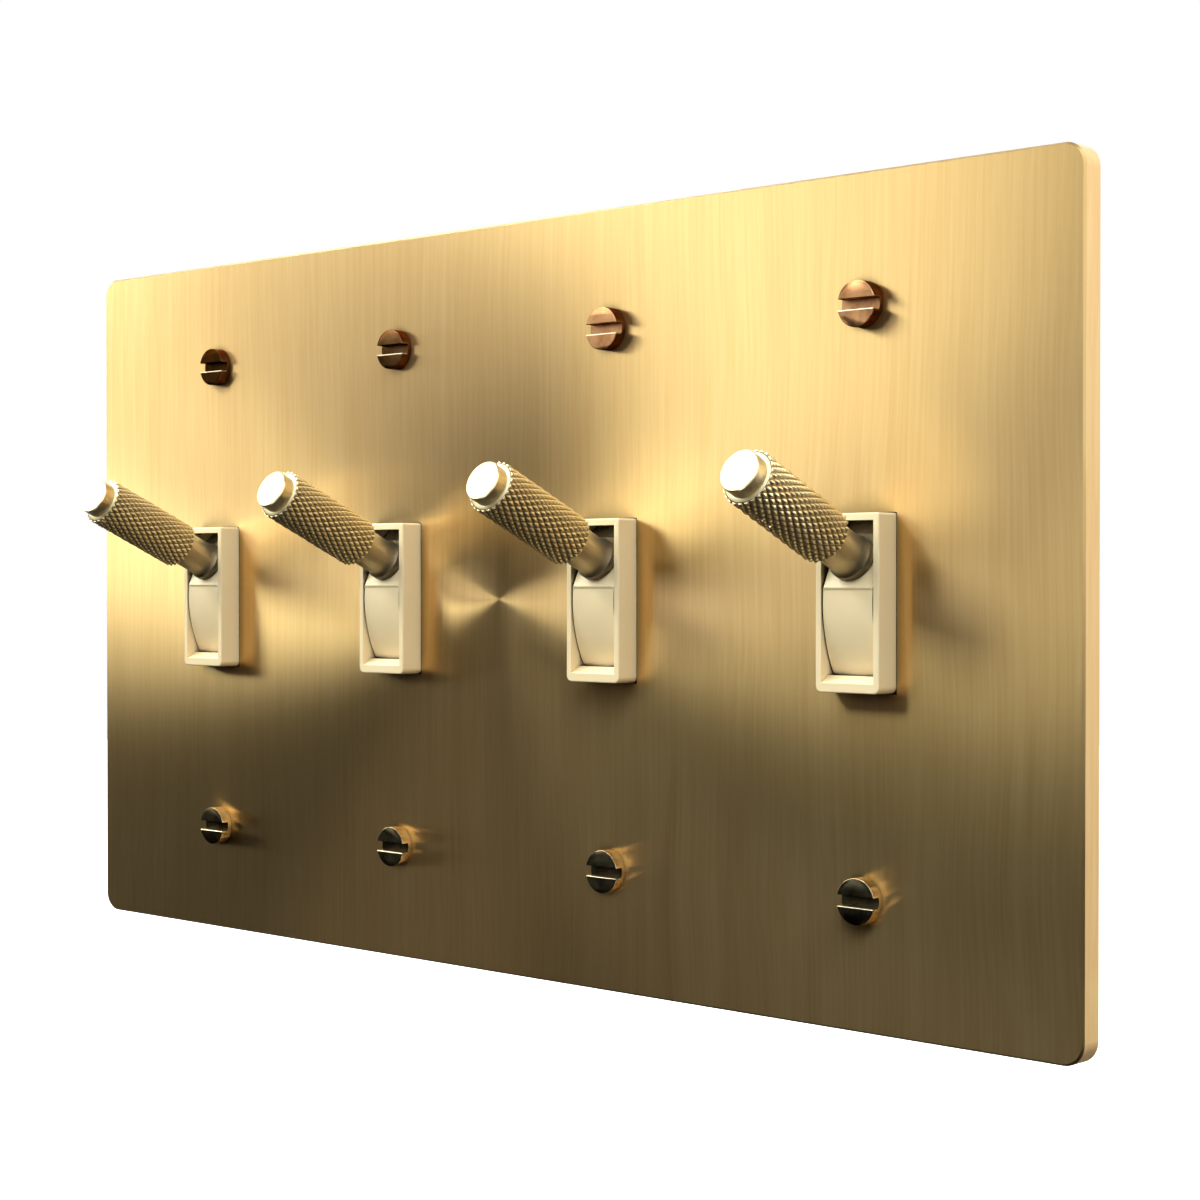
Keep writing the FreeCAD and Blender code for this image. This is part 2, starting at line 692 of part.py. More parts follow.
def build_contact_rocker(gang):
    """See-saw contact: a dished strip with a button, rocking on the load terminal's edge."""
    body = new_body(f"contact_rocker_{gang + 1}", (gang_place(gang), saddle_depth(), 0),
                    size("saddle_tilt"))
    path = tip_path_radius()
    face = path + size("tip_radius") + size("saddle_gap")
    thickness = size("saddle_thickness")
    back_middle = -size("edge_radius") - size("edge_gap")
    centre = back_middle - thickness - face
    half = size("saddle_half")
    back = face + thickness
    front_end = centre + root(face * face - half * half)
    back_end = centre + root(back * back - half * half)
    section = new_sketch(body, "section", "YZ_Plane")
    outline(section, (
        (front_end, half),
        (front_end, -half, face, -1),
        (back_end, -half),
        (back_end, half, back, 1),
    ))
    pad(body, section, size("saddle_width"), middle=True)
    far = size("button_place") + size("button_radius")
    button_start = centre + root(back * back - far * far)
    rod(body, "button", "Y", (0, -size("button_place")), button_start, -size("button_face"),
        size("button_radius"))


def build_toggle_carrier(gang):
    """Cream rocker that fills the frame: front block, curved skirts, hub and plunger boss."""
    place, turn = lever_placement(gang)
    body = new_body(f"toggle_carrier_{gang + 1}", place, turn)
    lean = size("lever_tilt")
    half = size("block_half")
    reach = size("block_reach")
    radius = size("skirt_radius")
    inner = radius - size("skirt_thickness")
    ahead, drop = skirt_tip()
    curve_up = size("skirt_back") * sine(lean)
    curve_back = -size("skirt_back") * cosine(lean)
    tip_out = drop * cosine(lean) + ahead * sine(lean)
    tip_along = ahead * cosine(lean) - drop * sine(lean)
    share = inner / radius
    inner_out = (tip_out + curve_up) * share - curve_up
    inner_along = (tip_along - curve_back) * share + curve_back
    side = half + curve_up
    shoulder = root(radius * radius - side * side) + curve_back
    armpit = root(inner * inner - side * side) + curve_back
    hub = size("hub_radius")
    section = new_sketch(body, "section", "YZ_Plane")
    outline(section, (
        (half, reach),
        (half, shoulder),
        (tip_out, tip_along, radius, -1),
        (inner_out, inner_along),
        (half, armpit, inner, 1),
        (hub, 0),
        (-hub, 0),
        (-half, armpit),
        (-inner_out, inner_along, inner, 1),
        (-tip_out, tip_along),
        (-half, shoulder, radius, -1),
        (-half, reach),
    ))
    width = size("opening_width") / 2 - size("carrier_gap")
    moulding = pad(body, section, width * 2, middle=True)
    ease(body, "Chamfer", "face_edge", moulding,
         lambda edge: lies_at(edge, "z", reach.value), size("block_edge"))
    rod(body, "hub", "X", (0, 0), -width, width, hub)
    boss = size("boss_half")
    block(body, "boss", (-boss, boss), (-boss, boss), (-size("boss_length"), 0))
    rod(body, "pin_bore", "X", (0, 0), -width * 2, width * 2,
        size("pin_radius") + size("pin_fit"), cut=True)
    rod(body, "root_bore", "Z", (0, 0), reach - size("root_length"), reach * 2,
        size("root_radius") + size("root_fit"), cut=True)
    rod(body, "plunger_bore", "Z", (0, 0), -size("boss_length") * 2, -size("plunger_bore_end"),
        size("plunger_radius") + size("plunger_fit"), cut=True)


def build_lever_stem(gang):
    """Turned brass stem: root in the carrier, rounded foot, plain neck and spindle for the grip."""
    place, turn = lever_placement(gang)
    body = new_body(f"lever_stem_{gang + 1}", place, turn)
    face = size("block_reach")
    neck = size("stem_radius")
    foot = size("foot_radius")
    base = size("foot_base_radius")
    belly = face + size("foot_swell")
    waist = belly + size("foot_band")
    shoulder = size("grip_start")
    end = shoulder + size("grip_length") - size("spindle_fit")
    bore = size("spigot_radius") + size("spindle_fit")
    root_end = face - size("root_length") + size("root_fit")
    turned(body, "section", (
        (0, root_end),
        (size("root_radius"), root_end),
        (size("root_radius"), face),
        (base, face),
        (foot, belly, size("foot_swell_curve"), 1),
        (foot, waist),
        (neck, waist + size("foot_shoulder"), size("foot_shoulder_curve"), -1),
        (neck, shoulder),
        (size("spindle_radius"), shoulder),
        (size("spindle_radius"), end),
        (bore, end),
        (bore, end - size("spigot_length")),
        (0, end - size("spigot_length")),
    ))


def build_end_cap(gang):
    """Polished brass cap, screwed into the stem and holding the grip on."""
    place, turn = lever_placement(gang)
    body = new_body(f"end_cap_{gang + 1}", place, turn)
    seat = size("grip_start") + size("grip_length")
    top = seat + size("cap_height")
    bottom = seat - size("spigot_length") + size("spindle_fit")
    edge = size("cap_edge")
    turned(body, "section", (
        (0, bottom),
        (size("spigot_radius"), bottom),
        (size("spigot_radius"), seat),
        (size("cap_radius"), seat),
        (size("cap_radius"), top - edge),
        (size("cap_radius") - edge, top),
        (0, top),
    ))


def build_plunger(gang):
    """Round-ended plunger that slides in the carrier's boss and tips the see-saw."""
    place, turn = lever_placement(gang)
    body = new_body(f"plunger_{gang + 1}", place, turn)
    tip = size("tip_radius")
    turned(body, "section", (
        (0, -size("tip_reach") - tip),
        (tip, -size("tip_reach"), tip, 1),
        (tip, -size("plunger_step")),
        (size("plunger_radius"), -size("plunger_step")),
        (size("plunger_radius"), -size("plunger_top")),
        (0, -size("plunger_top")),
    ))


def knurled_sleeve():
    """Diamond knurling: one four-sided point for each diamond, on a tube closed at both ends."""
    crest = size("grip_radius").value
    root_radius = crest - size("knurl_depth").value
    bore = size("spindle_radius").value + size("spindle_fit").value
    start = size("grip_start").value
    length = size("grip_length").value

    def spot(radius, step, row):
        turn = math.pi * step / KNURL_STARTS
        height = start + length * row / KNURL_ROWS
        return FreeCAD.Vector(radius * math.cos(turn), radius * math.sin(turn), height)

    facets = []
    for row in range(KNURL_ROWS + 1):
        for step in range(row % 2, 2 * KNURL_STARTS, 2):
            point = spot(crest, step, row)
            left, right = spot(root_radius, step - 1, row), spot(root_radius, step + 1, row)
            if row > 0:
                below = spot(root_radius, step, row - 1)
                facets.append((left, below, point))
                facets.append((below, right, point))
            if row < KNURL_ROWS:
                above = spot(root_radius, step, row + 1)
                facets.append((right, above, point))
                facets.append((above, left, point))
    rims = []
    for row in (0, KNURL_ROWS):
        steps = range(2 * KNURL_STARTS)
        radii = [crest if (step + row) % 2 == 0 else root_radius for step in steps]
        rims.append(tuple(spot(radius, step, row) for radius, step in zip(radii, steps)))
    blank = solid_of_facets(facets + rims)
    return blank.cut(cylinder((0, 0, start - bore), (0, 0, 1), length + 2 * bore, bore))


def plunger_spring():
    """Coil of square-drawn wire between the end of the bore and the plunger."""
    wire = size("spring_wire").value
    middle = size("spring_radius").value
    gap = size("spring_gap").value
    low = -size("plunger_top").value + gap + wire / 2
    high = -size("plunger_bore_end").value - gap - wire / 2
    steps = SPRING_TURNS * SPRING_STEPS

    def ring(step):
        turn = 2 * math.pi * step / SPRING_STEPS
        height = low + (high - low) * step / steps
        around = FreeCAD.Vector(math.cos(turn), math.sin(turn), 0)
        sides = ((-1, -1), (1, -1), (1, 1), (-1, 1))
        return [around * (middle + a * wire / 2) + FreeCAD.Vector(0, 0, height + b * wire / 2)
                for a, b in sides]

    rings = [ring(step) for step in range(steps + 1)]
    facets = [tuple(rings[0]), tuple(rings[-1])]
    for here, there in zip(rings, rings[1:]):
        for corner in range(4):
            after = (corner + 1) % 4
            facets.append((here[corner], there[corner], there[after]))
            facets.append((here[corner], there[after], here[after]))
    return solid_of_facets(facets)


def build_coin_screws():
    """Eight slotted screws: head on the plate, plain neck, and a thread into the wall box."""
    front = -size("plate_thickness").value
    end = size("stud_length").value
    neck_end = -strap_back().value
    screw = slotted_head(size("screw_head_radius").value, size("screw_head_height").value,
                         size("screw_head_edge").value, size("screw_slot_width").value,
                         size("screw_slot_depth").value)
    screw.translate(FreeCAD.Vector(0, front, 0))
    neck = cylinder((0, front, 0), (0, 1, 0), neck_end - front, size("screw_body_radius").value)
    thread = cylinder((0, neck_end, 0), (0, 1, 0), end - neck_end, size("stud_radius").value)
    screw = screw.fuse([neck, thread])
    spots = [(gang_place(gang), size("screw_spacing") / 2 * side)
             for gang in range(GANGS) for side in ENDS]
    loose_part("coin_screws", group(moved(screw, x.value, 0, z.value) for x, z in spots))


def moved(shape, x, y, z):
    copy = shape.copy()
    copy.translate(FreeCAD.Vector(x, y, z))
    return copy


def build_strap_rivets():
    """Two rivets for each switch, through strap, cover and housing, with a head at the back."""
    radius = size("rivet_radius").value
    start = -size("pocket_depth").value
    back = housing_back().value
    shank = cylinder((0, start, 0), (0, 1, 0), back - start, radius)
    head = cylinder((0, back, 0), (0, 1, 0), size("rivet_head_height").value,
                    size("rivet_head_radius").value)
    rivet = shank.fuse(head)
    spots = [(gang_place(gang), size("rivet_spacing") / 2 * side)
             for gang in range(GANGS) for side in ENDS]
    loose_part("strap_rivets", group(moved(rivet, x.value, 0, z.value) for x, z in spots))


def build_pivot_pins():
    """One steel pin for each lever, through the carrier and both cheeks."""
    half = (size("opening_width") / 2 + size("cheek_thickness")).value
    depth = size("pivot_depth").value
    pin = cylinder((-half, depth, 0), (1, 0, 0), 2 * half, size("pin_radius").value)
    loose_part("pivot_pins", group(moved(pin, gang_place(gang).value, 0, 0)
                                   for gang in range(GANGS)))


def small_screw(length):
    """A slotted terminal screw along Y, its head's underside at Y = 0."""
    head = slotted_head(size("terminal_head_radius").value, size("terminal_head_height").value,
                        size("terminal_head_edge").value, size("terminal_slot_width").value,
                        size("terminal_slot_depth").value)
    return head.fuse(cylinder((0, 0, 0), (0, 1, 0), length, size("terminal_screw_radius").value))


def build_terminal_screws():
    """Two brass screws on the side of each housing, for the wires."""
    plate = size("housing_width") / 2 + size("terminal_fit") + size("terminal_thickness")
    seat = (plate + size("terminal_grip")).value
    length = seat - (size("housing_width") / 2 - size("housing_wall") / 2).value
    screw = small_screw(length)
    screw.rotate(FreeCAD.Vector(0, 0, 0), FreeCAD.Vector(0, 0, 1), 90)
    depth = terminal_screw_depth().value
    level = size("terminal_level").value
    loose_part("terminal_screws", group(
        moved(screw, gang_place(gang).value + seat, depth, level * side)
        for gang in range(GANGS) for side in ENDS))


def build_earth_screws():
    """One green screw behind the lower ear of each strap, for the earth wire."""
    grip = size("terminal_grip").value
    screw = small_screw(size("strap_thickness").value + grip)
    screw.rotate(FreeCAD.Vector(0, 0, 0), FreeCAD.Vector(0, 0, 1), 180)
    seat = grip - strap_back().value
    side, level = size("earth_side").value, -size("earth_level").value
    loose_part("earth_screws", group(moved(screw, gang_place(gang).value + side, seat, level)
                                     for gang in range(GANGS)))


def check_document():
    """Stop before anything is written if a feature failed or a piece is not sound."""
    for item in doc.Objects:
        if "Invalid" in item.State or "Error" in item.State:
            raise RuntimeError(f"{item.Name} failed: {item.State}")
    for piece in pieces:
        if piece.Shape.isNull() or not piece.Shape.isValid():
            raise RuntimeError(f"{piece.Label} has no sound shape")


fill_sheet()
build_face_plate()
build_coin_screws()
sleeve = knurled_sleeve()
spring = plunger_spring()
for gang in range(GANGS):
    build_mounting_strap(gang)
    build_toggle_frame(gang)
    build_switch_body(gang)
    build_toggle_carrier(gang)
    build_lever_stem(gang)
    build_end_cap(gang)
    build_plunger(gang)
    build_line_terminal(gang)
    build_load_terminal(gang)
    build_contact_rocker(gang)
    place, turn = lever_placement(gang)
    loose_part(f"knurled_grip_{gang + 1}", sleeve, place, turn)
    loose_part(f"plunger_spring_{gang + 1}", spring, place, turn)
build_strap_rivets()
build_pivot_pins()
build_terminal_screws()
build_earth_screws()
doc.recompute()
check_document()
os.makedirs("parts", exist_ok=True)
for piece in pieces:
    piece.Shape.exportStep(f"parts/{piece.Label}.step")
print(f"{len(pieces)} nodes written")
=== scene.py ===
import math

import bpy
from mathutils import Matrix, Vector


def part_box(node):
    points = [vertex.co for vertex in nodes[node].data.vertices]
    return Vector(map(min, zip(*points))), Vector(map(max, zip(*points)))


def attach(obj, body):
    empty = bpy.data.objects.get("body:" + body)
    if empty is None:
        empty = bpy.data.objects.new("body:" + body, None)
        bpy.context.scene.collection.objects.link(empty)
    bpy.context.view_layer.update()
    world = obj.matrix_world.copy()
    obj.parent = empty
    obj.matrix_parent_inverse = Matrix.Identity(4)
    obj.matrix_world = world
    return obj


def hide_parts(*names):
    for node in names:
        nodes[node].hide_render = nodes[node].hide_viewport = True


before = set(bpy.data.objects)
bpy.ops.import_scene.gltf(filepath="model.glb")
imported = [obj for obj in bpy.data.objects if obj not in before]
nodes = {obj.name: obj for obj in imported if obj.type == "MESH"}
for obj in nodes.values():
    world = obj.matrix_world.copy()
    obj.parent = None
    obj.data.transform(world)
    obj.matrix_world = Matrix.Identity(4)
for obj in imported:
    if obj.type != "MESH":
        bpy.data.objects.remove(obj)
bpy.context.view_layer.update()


# Face plate. One piece of solid brass, sawn and milled, brushed round its middle on a turning
# table, then lightly from top to bottom, and sealed with a clear satin lacquer. The round brushing
# gathers light in two wedges beside the middle of the plate.

MM = 0.001
SWAY = 4 * MM
SCRATCH = (0.5 * MM, 0.9 * MM, 26 * MM)
BAND = (4 * MM, 8 * MM, 90 * MM)
PLATE_SHADE_REACH = 8 * MM


def linear(hexadecimal):
    """An sRGB colour such as C9A468 as linear red, green, blue and alpha."""
    channels = [int(hexadecimal[i:i + 2], 16) / 255 for i in (0, 2, 4)]
    return [c / 12.92 if c <= 0.04045 else ((c + 0.055) / 1.055) ** 2.4 for c in channels] + [1.0]


def add_node(tree, kind, inputs=None, **settings):
    """Add a node with its settings; each input takes a value or another node's output."""
    node = tree.nodes.new(kind)
    for name, value in settings.items():
        setattr(node, name, value)
    for socket, value in (inputs or {}).items():
        if isinstance(value, bpy.types.NodeSocket):
            tree.links.new(value, node.inputs[socket])
        else:
            node.inputs[socket].default_value = value
    return node


def new_finish(name):
    """An empty finish: the material, its node tree and its surface shader."""
    finish = bpy.data.materials.new(name)
    finish.use_nodes = True
    return finish, finish.node_tree, finish.node_tree.nodes["Principled BSDF"]


def dress(finish, *names):
    """Give a finish to nodes that keep their CAD shape."""
    for name in names:
        piece = nodes[name]
        piece.data.materials.clear()
        piece.data.materials.append(finish)
        for face in piece.data.polygons:
            face.material_index = 0


# Brushed brass: fine upright scratches of about half a millimetre, each 20 to 30 mm long and a
# little wavy, under a satin lacquer. They stretch every reflection, and lighter and darker ones
# lie side by side. Close round the frames and the screws, the brass colour is darkened to brown
# by an occlusion measure: painted shade.
plate_finish, tree, surface = new_finish("brushed_lacquered_brass")
place = add_node(tree, "ShaderNodeTexCoord")
sway = add_node(tree, "ShaderNodeTexNoise", {"Vector": place.outputs["Object"],
                                             "Scale": 1 / (45.5 * MM), "Detail": 1.0})
swayed = add_node(tree, "ShaderNodeVectorMath", {0: sway.outputs["Color"], 1: (SWAY, SWAY, 0.0)},
                  operation="MULTIPLY")
bent = add_node(tree, "ShaderNodeVectorMath", {0: place.outputs["Object"],
                                               1: swayed.outputs["Vector"]}, operation="ADD")
fine = add_node(tree, "ShaderNodeMapping", {"Vector": bent.outputs["Vector"],
                                            "Scale": [1 / size for size in SCRATCH]})
scratches = add_node(tree, "ShaderNodeTexNoise", {"Vector": fine.outputs["Vector"], "Scale": 1.0,
                                                  "Detail": 3.0, "Roughness": 0.6})
wide = add_node(tree, "ShaderNodeMapping", {"Vector": bent.outputs["Vector"],
                                            "Scale": [1 / size for size in BAND]})
bands = add_node(tree, "ShaderNodeTexNoise", {"Vector": wide.outputs["Vector"], "Scale": 1.0,
                                              "Detail": 2.0})
both = add_node(tree, "ShaderNodeMath", {0: bands.outputs["Fac"], 1: 0.4,
                                         2: scratches.outputs["Fac"]},
                operation="MULTIPLY_ADD")
amount = add_node(tree, "ShaderNodeMapRange", {"Value": both.outputs["Value"], "From Min": 0.45,
                                               "From Max": 0.95})
tint = add_node(tree, "ShaderNodeMix", {"Factor": amount.outputs["Result"],
                                        6: linear("DAB378"), 7: linear("E4C288")},
                data_type="RGBA")
# Painted shade: the brass is coloured darker brown where the frames and screws occlude the plate.
occlusion_shade = add_node(tree, "ShaderNodeAmbientOcclusion", {"Distance": PLATE_SHADE_REACH}, samples=8)
tarnish = add_node(tree, "ShaderNodeMapRange", {"Value": occlusion_shade.outputs["AO"],
                                                "From Min": 0.50, "From Max": 0.82,
                                                "To Min": 1.0, "To Max": 0.0},
                   interpolation_type="SMOOTHSTEP")
skin = add_node(tree, "ShaderNodeMix", {"Factor": tarnish.outputs["Result"],
                                        6: tint.outputs[2], 7: linear("927E56")},
                data_type="RGBA")
rough = add_node(tree, "ShaderNodeMapRange", {"Value": amount.outputs["Result"],
                                              "To Min": 0.325, "To Max": 0.35})
relief = add_node(tree, "ShaderNodeBump", {"Height": scratches.outputs["Fac"], "Strength": 0.08,
                                           "Distance": 0.05 * MM})
round_middle = add_node(tree, "ShaderNodeTangent", direction_type="RADIAL", axis="Y")
tree.links.new(skin.outputs[2], surface.inputs["Base Color"])
tree.links.new(rough.outputs["Result"], surface.inputs["Roughness"])
tree.links.new(relief.outputs["Normal"], surface.inputs["Normal"])
tree.links.new(round_middle.outputs["Tangent"], surface.inputs["Tangent"])
surface.inputs["Metallic"].default_value = 1.0
surface.inputs["Anisotropic"].default_value = 0.9
dress(plate_finish, "face_plate")


# Coin screws. Turned bronze screws with a slot for a coin, dipped in a darkening bath, so they are
# mottled brown and nearly black; the up-facing slot walls and the sides of the lower heads are
# coloured pale as painted highlights. They pass through the plate and the strap behind it, and
# their threads stand out into the wall box.

GANG_PITCH = 46.04 * MM
SCREW_LEVEL = 39.5 * MM
SCREW_HEAD_RADIUS = 3.12 * MM
SCREW_FRONT = -5.4 * MM
SLOT_HALF = 0.75 * MM
SLOT_EDGE = 0.08 * MM
SLOT_WALL_DEPTH = 1.1 * MM
SLOT_WALL_BAND = 0.16 * MM
SIDE_SKIN = 0.05 * MM
LATHE_RINGS = 0.16 * MM
THREAD_PITCH = 0.75 * MM
THREAD_FROM = -0.9 * MM
THREAD_RELIEF = 1.2
MERGE = 0.001 * MM
NEAR = 0.01 * MM

# Darkened bronze: cloudy patina a few millimetres wide over the lathe's fine rings, black on the
# lower heads and reddish brown on the upper ones. These are turned more often, which has worn
# them back towards the coppery metal at the right. The sides of the lower heads are coloured pale
# and those of the upper heads brown, and the lower, up-facing walls of all slots are coloured
# pale:
# painted highlights.
bronze_finish, tree, surface = new_finish("darkened_bronze")
place = add_node(tree, "ShaderNodeTexCoord")
axes = add_node(tree, "ShaderNodeSeparateXYZ", {"Vector": place.outputs["Object"]})
from_gang = add_node(tree, "ShaderNodeMath", {0: axes.outputs["X"], 1: GANG_PITCH / 2},
                     operation="SUBTRACT")
beside = add_node(tree, "ShaderNodeMath", {0: from_gang.outputs["Value"], 1: GANG_PITCH / 2,
                                           2: -GANG_PITCH / 2}, operation="WRAP")
row = add_node(tree, "ShaderNodeMath", {0: axes.outputs["Z"]}, operation="SIGN")
over = add_node(tree, "ShaderNodeMath", {0: row.outputs["Value"], 1: -SCREW_LEVEL,
                                         2: axes.outputs["Z"]}, operation="MULTIPLY_ADD")
middle = add_node(tree, "ShaderNodeCombineXYZ", {"X": beside.outputs["Value"],
                                                 "Y": over.outputs["Value"]})
reach = add_node(tree, "ShaderNodeVectorMath", {0: middle.outputs["Vector"]}, operation="LENGTH")
ring_place = add_node(tree, "ShaderNodeMath", {0: reach.outputs["Value"], 1: 1 / LATHE_RINGS},
                      operation="MULTIPLY")
rings = add_node(tree, "ShaderNodeTexNoise", {"W": ring_place.outputs["Value"], "Scale": 1.0,
                                              "Detail": 1.0}, noise_dimensions="1D")
clouds = add_node(tree, "ShaderNodeTexNoise", {"Vector": place.outputs["Object"],
                                               "Scale": 1 / (2.38 * MM), "Detail": 5.0,
                                               "Roughness": 0.62})
patches = add_node(tree, "ShaderNodeMapRange", {"Value": clouds.outputs["Fac"], "From Min": 0.36,
                                                "From Max": 0.66})
handled = add_node(tree, "ShaderNodeVectorMath", {0: place.outputs["Object"],
                                                  1: (0.45, 0.0, 1.0)}, operation="DOT_PRODUCT")
worn = add_node(tree, "ShaderNodeMapRange", {"Value": handled.outputs["Value"],
                                             "From Min": 26.5 * MM, "From Max": 52 * MM})
upper = add_node(tree, "ShaderNodeMath", {0: axes.outputs["Z"], 1: 0.0},
                 operation="GREATER_THAN")
black_skin = add_node(tree, "ShaderNodeMix", {"Factor": patches.outputs["Result"],
                                              6: linear("2C2922"), 7: linear("4A4436")},
                      data_type="RGBA")
brown_skin = add_node(tree, "ShaderNodeMix", {"Factor": patches.outputs["Result"],
                                              6: linear("20170F"), 7: linear("3A281A")},
                      data_type="RGBA")
old_skin = add_node(tree, "ShaderNodeMix", {"Factor": upper.outputs["Value"],
                                            6: black_skin.outputs[2], 7: brown_skin.outputs[2]},
                    data_type="RGBA")
worn_skin = add_node(tree, "ShaderNodeMix", {"Factor": patches.outputs["Result"],
                                             6: linear("A06F4B"), 7: linear("CC9B70")},
                     data_type="RGBA")
face_skin = add_node(tree, "ShaderNodeMix", {"Factor": worn.outputs["Result"],
                                             6: old_skin.outputs[2], 7: worn_skin.outputs[2]},
                     data_type="RGBA")
outer = add_node(tree, "ShaderNodeMath", {0: reach.outputs["Value"],
                                          1: SCREW_HEAD_RADIUS - SIDE_SKIN},
                 operation="GREATER_THAN")
# Painted highlight and shade: the sides of the lower heads, lit from above, are coloured pale; the
# upper ones are brown.
painted_light_side = add_node(tree, "ShaderNodeMix", {"Factor": upper.outputs["Value"],
                                             6: linear("C2AA84"), 7: linear("5E3E2A")},
                     data_type="RGBA")
skin = add_node(tree, "ShaderNodeMix", {"Factor": outer.outputs["Value"],
                                        6: face_skin.outputs[2], 7: painted_light_side.outputs[2]},
                data_type="RGBA")
# Painted highlight: the lower, up-facing wall of each slot is coloured pale.
wall = add_node(tree, "ShaderNodeMath", {0: over.outputs["Value"], 1: -SLOT_HALF,
                                         2: SLOT_WALL_BAND}, operation="COMPARE")
in_front = add_node(tree, "ShaderNodeMath", {0: axes.outputs["Y"],
                                             1: SCREW_FRONT + SLOT_WALL_DEPTH},
                    operation="LESS_THAN")
lit_slot_wall = add_node(tree, "ShaderNodeMath", {0: wall.outputs["Value"],
                                              1: in_front.outputs["Value"]},
                     operation="MULTIPLY")
tint = add_node(tree, "ShaderNodeMix", {"Factor": lit_slot_wall.outputs["Value"],
                                        6: skin.outputs[2], 7: linear("EADCC0")},
                data_type="RGBA")
rough_skin = add_node(tree, "ShaderNodeMapRange", {"Value": patches.outputs["Result"],
                                                   "To Min": 0.34, "To Max": 0.48})
rough = add_node(tree, "ShaderNodeMix", {"Factor": lit_slot_wall.outputs["Value"],
                                         2: rough_skin.outputs["Result"], 3: 0.3},
                 data_type="FLOAT")
round_turn = add_node(tree, "ShaderNodeMath", {0: over.outputs["Value"],
                                               1: beside.outputs["Value"]}, operation="ARCTAN2")
lead = add_node(tree, "ShaderNodeMath", {0: round_turn.outputs["Value"],
                                         1: THREAD_PITCH / (2 * math.pi),
                                         2: axes.outputs["Y"]}, operation="MULTIPLY_ADD")
flank = add_node(tree, "ShaderNodeMath", {0: lead.outputs["Value"], 1: THREAD_PITCH / 2},
                 operation="PINGPONG")
threaded = add_node(tree, "ShaderNodeMath", {0: axes.outputs["Y"], 1: THREAD_FROM},
                    operation="GREATER_THAN")
thread = add_node(tree, "ShaderNodeMath", {0: flank.outputs["Value"],
                                           1: threaded.outputs["Value"]}, operation="MULTIPLY")
cut_thread = add_node(tree, "ShaderNodeBump", {"Height": thread.outputs["Value"], "Strength": 1.0,
                                               "Distance": THREAD_RELIEF})
relief = add_node(tree, "ShaderNodeBump", {"Height": rings.outputs["Fac"], "Strength": 0.2,
                                           "Distance": 0.03 * MM,
                                           "Normal": cut_thread.outputs["Normal"]})
tree.links.new(tint.outputs[2], surface.inputs["Base Color"])
tree.links.new(rough.outputs[0], surface.inputs["Roughness"])
tree.links.new(relief.outputs["Normal"], surface.inputs["Normal"])
surface.inputs["Specular Tint"].default_value = linear("BA9C80")
surface.inputs["Metallic"].default_value = 1.0

# The edges of the slots are rubbed round by coins, and catch a thin line of light.
bpy.ops.object.select_all(action="DESELECT")
screws = bpy.data.objects.new("bronze_coin_screws", nodes["coin_screws"].data.copy())
bpy.context.scene.collection.objects.link(screws)
bpy.context.view_layer.objects.active = screws
screws.select_set(True)
bpy.ops.object.mode_set(mode="EDIT")
bpy.ops.mesh.select_mode(type="EDGE")
bpy.ops.mesh.select_all(action="SELECT")
bpy.ops.mesh.remove_doubles(threshold=MERGE)
bpy.ops.mesh.dissolve_limited(angle_limit=math.radians(1))
bpy.ops.mesh.select_all(action="DESELECT")
bpy.ops.object.mode_set(mode="OBJECT")
for edge in screws.data.edges:
    one, other = (screws.data.vertices[i].co for i in edge.vertices)
    level = abs(abs(one.z) - SCREW_LEVEL)
    edge.select = (max(abs(one.y - SCREW_FRONT), abs(other.y - SCREW_FRONT)) < NEAR
                   and abs(one.z - other.z) < NEAR and abs(one.x - other.x) > 1 * MM
                   and 0.5 * MM < level < 1 * MM)
bpy.ops.object.mode_set(mode="EDIT")
bpy.ops.mesh.bevel(offset=SLOT_EDGE, segments=2)
bpy.ops.object.mode_set(mode="OBJECT")
bpy.ops.object.shade_smooth_by_angle(angle=math.radians(20))
screws.data.materials.clear()
screws.data.materials.append(bronze_finish)
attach(screws, "base")
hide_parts("coin_screws")


# Mounting straps. Steel strip, blanked, pierced and zinc plated, one behind each window of the
# plate. The coin screws pull them against it, and each carries one switch.

GANGS = (1, 2, 3, 4)

# Bright zinc: cold white metal in faint crystals a few millimetres across, with fine rolling
# lines underneath.
zinc_finish, tree, surface = new_finish("zinc_plated_steel")
place = add_node(tree, "ShaderNodeTexCoord")
crystals = add_node(tree, "ShaderNodeTexVoronoi", {"Vector": place.outputs["Object"],
                                                   "Scale": 1 / (2.4 * MM), "Randomness": 1.0})
tint = add_node(tree, "ShaderNodeMix", {"Factor": crystals.outputs["Color"],
                                        6: linear("AEB4B8"), 7: linear("CFD3D5")},
                data_type="RGBA")
lines = add_node(tree, "ShaderNodeMapping", {"Vector": place.outputs["Object"],
                                             "Scale": (1 / (0.4 * MM), 1 / (0.4 * MM),
                                                       1 / (9 * MM))})
rolled = add_node(tree, "ShaderNodeTexNoise", {"Vector": lines.outputs["Vector"], "Scale": 1.0,
                                               "Detail": 2.0})
rough = add_node(tree, "ShaderNodeMapRange", {"Value": rolled.outputs["Fac"], "To Min": 0.28,
                                              "To Max": 0.46})
relief = add_node(tree, "ShaderNodeBump", {"Height": rolled.outputs["Fac"], "Strength": 0.15,
                                           "Distance": 0.04 * MM})
tree.links.new(tint.outputs[2], surface.inputs["Base Color"])
tree.links.new(rough.outputs["Result"], surface.inputs["Roughness"])
tree.links.new(relief.outputs["Normal"], surface.inputs["Normal"])
surface.inputs["Metallic"].default_value = 1.0
dress(zinc_finish, *(f"mounting_strap_{g}" for g in GANGS))


# Toggle frames and rockers. Injection-moulded cream urea plastic: glossy, a little translucent,
# with edges rounded by the mould. The frame is in one piece with the switch's cover behind the
# plate, and the rocker turns in it on a steel pin.

GAP_SHADE_REACH = 4 * MM
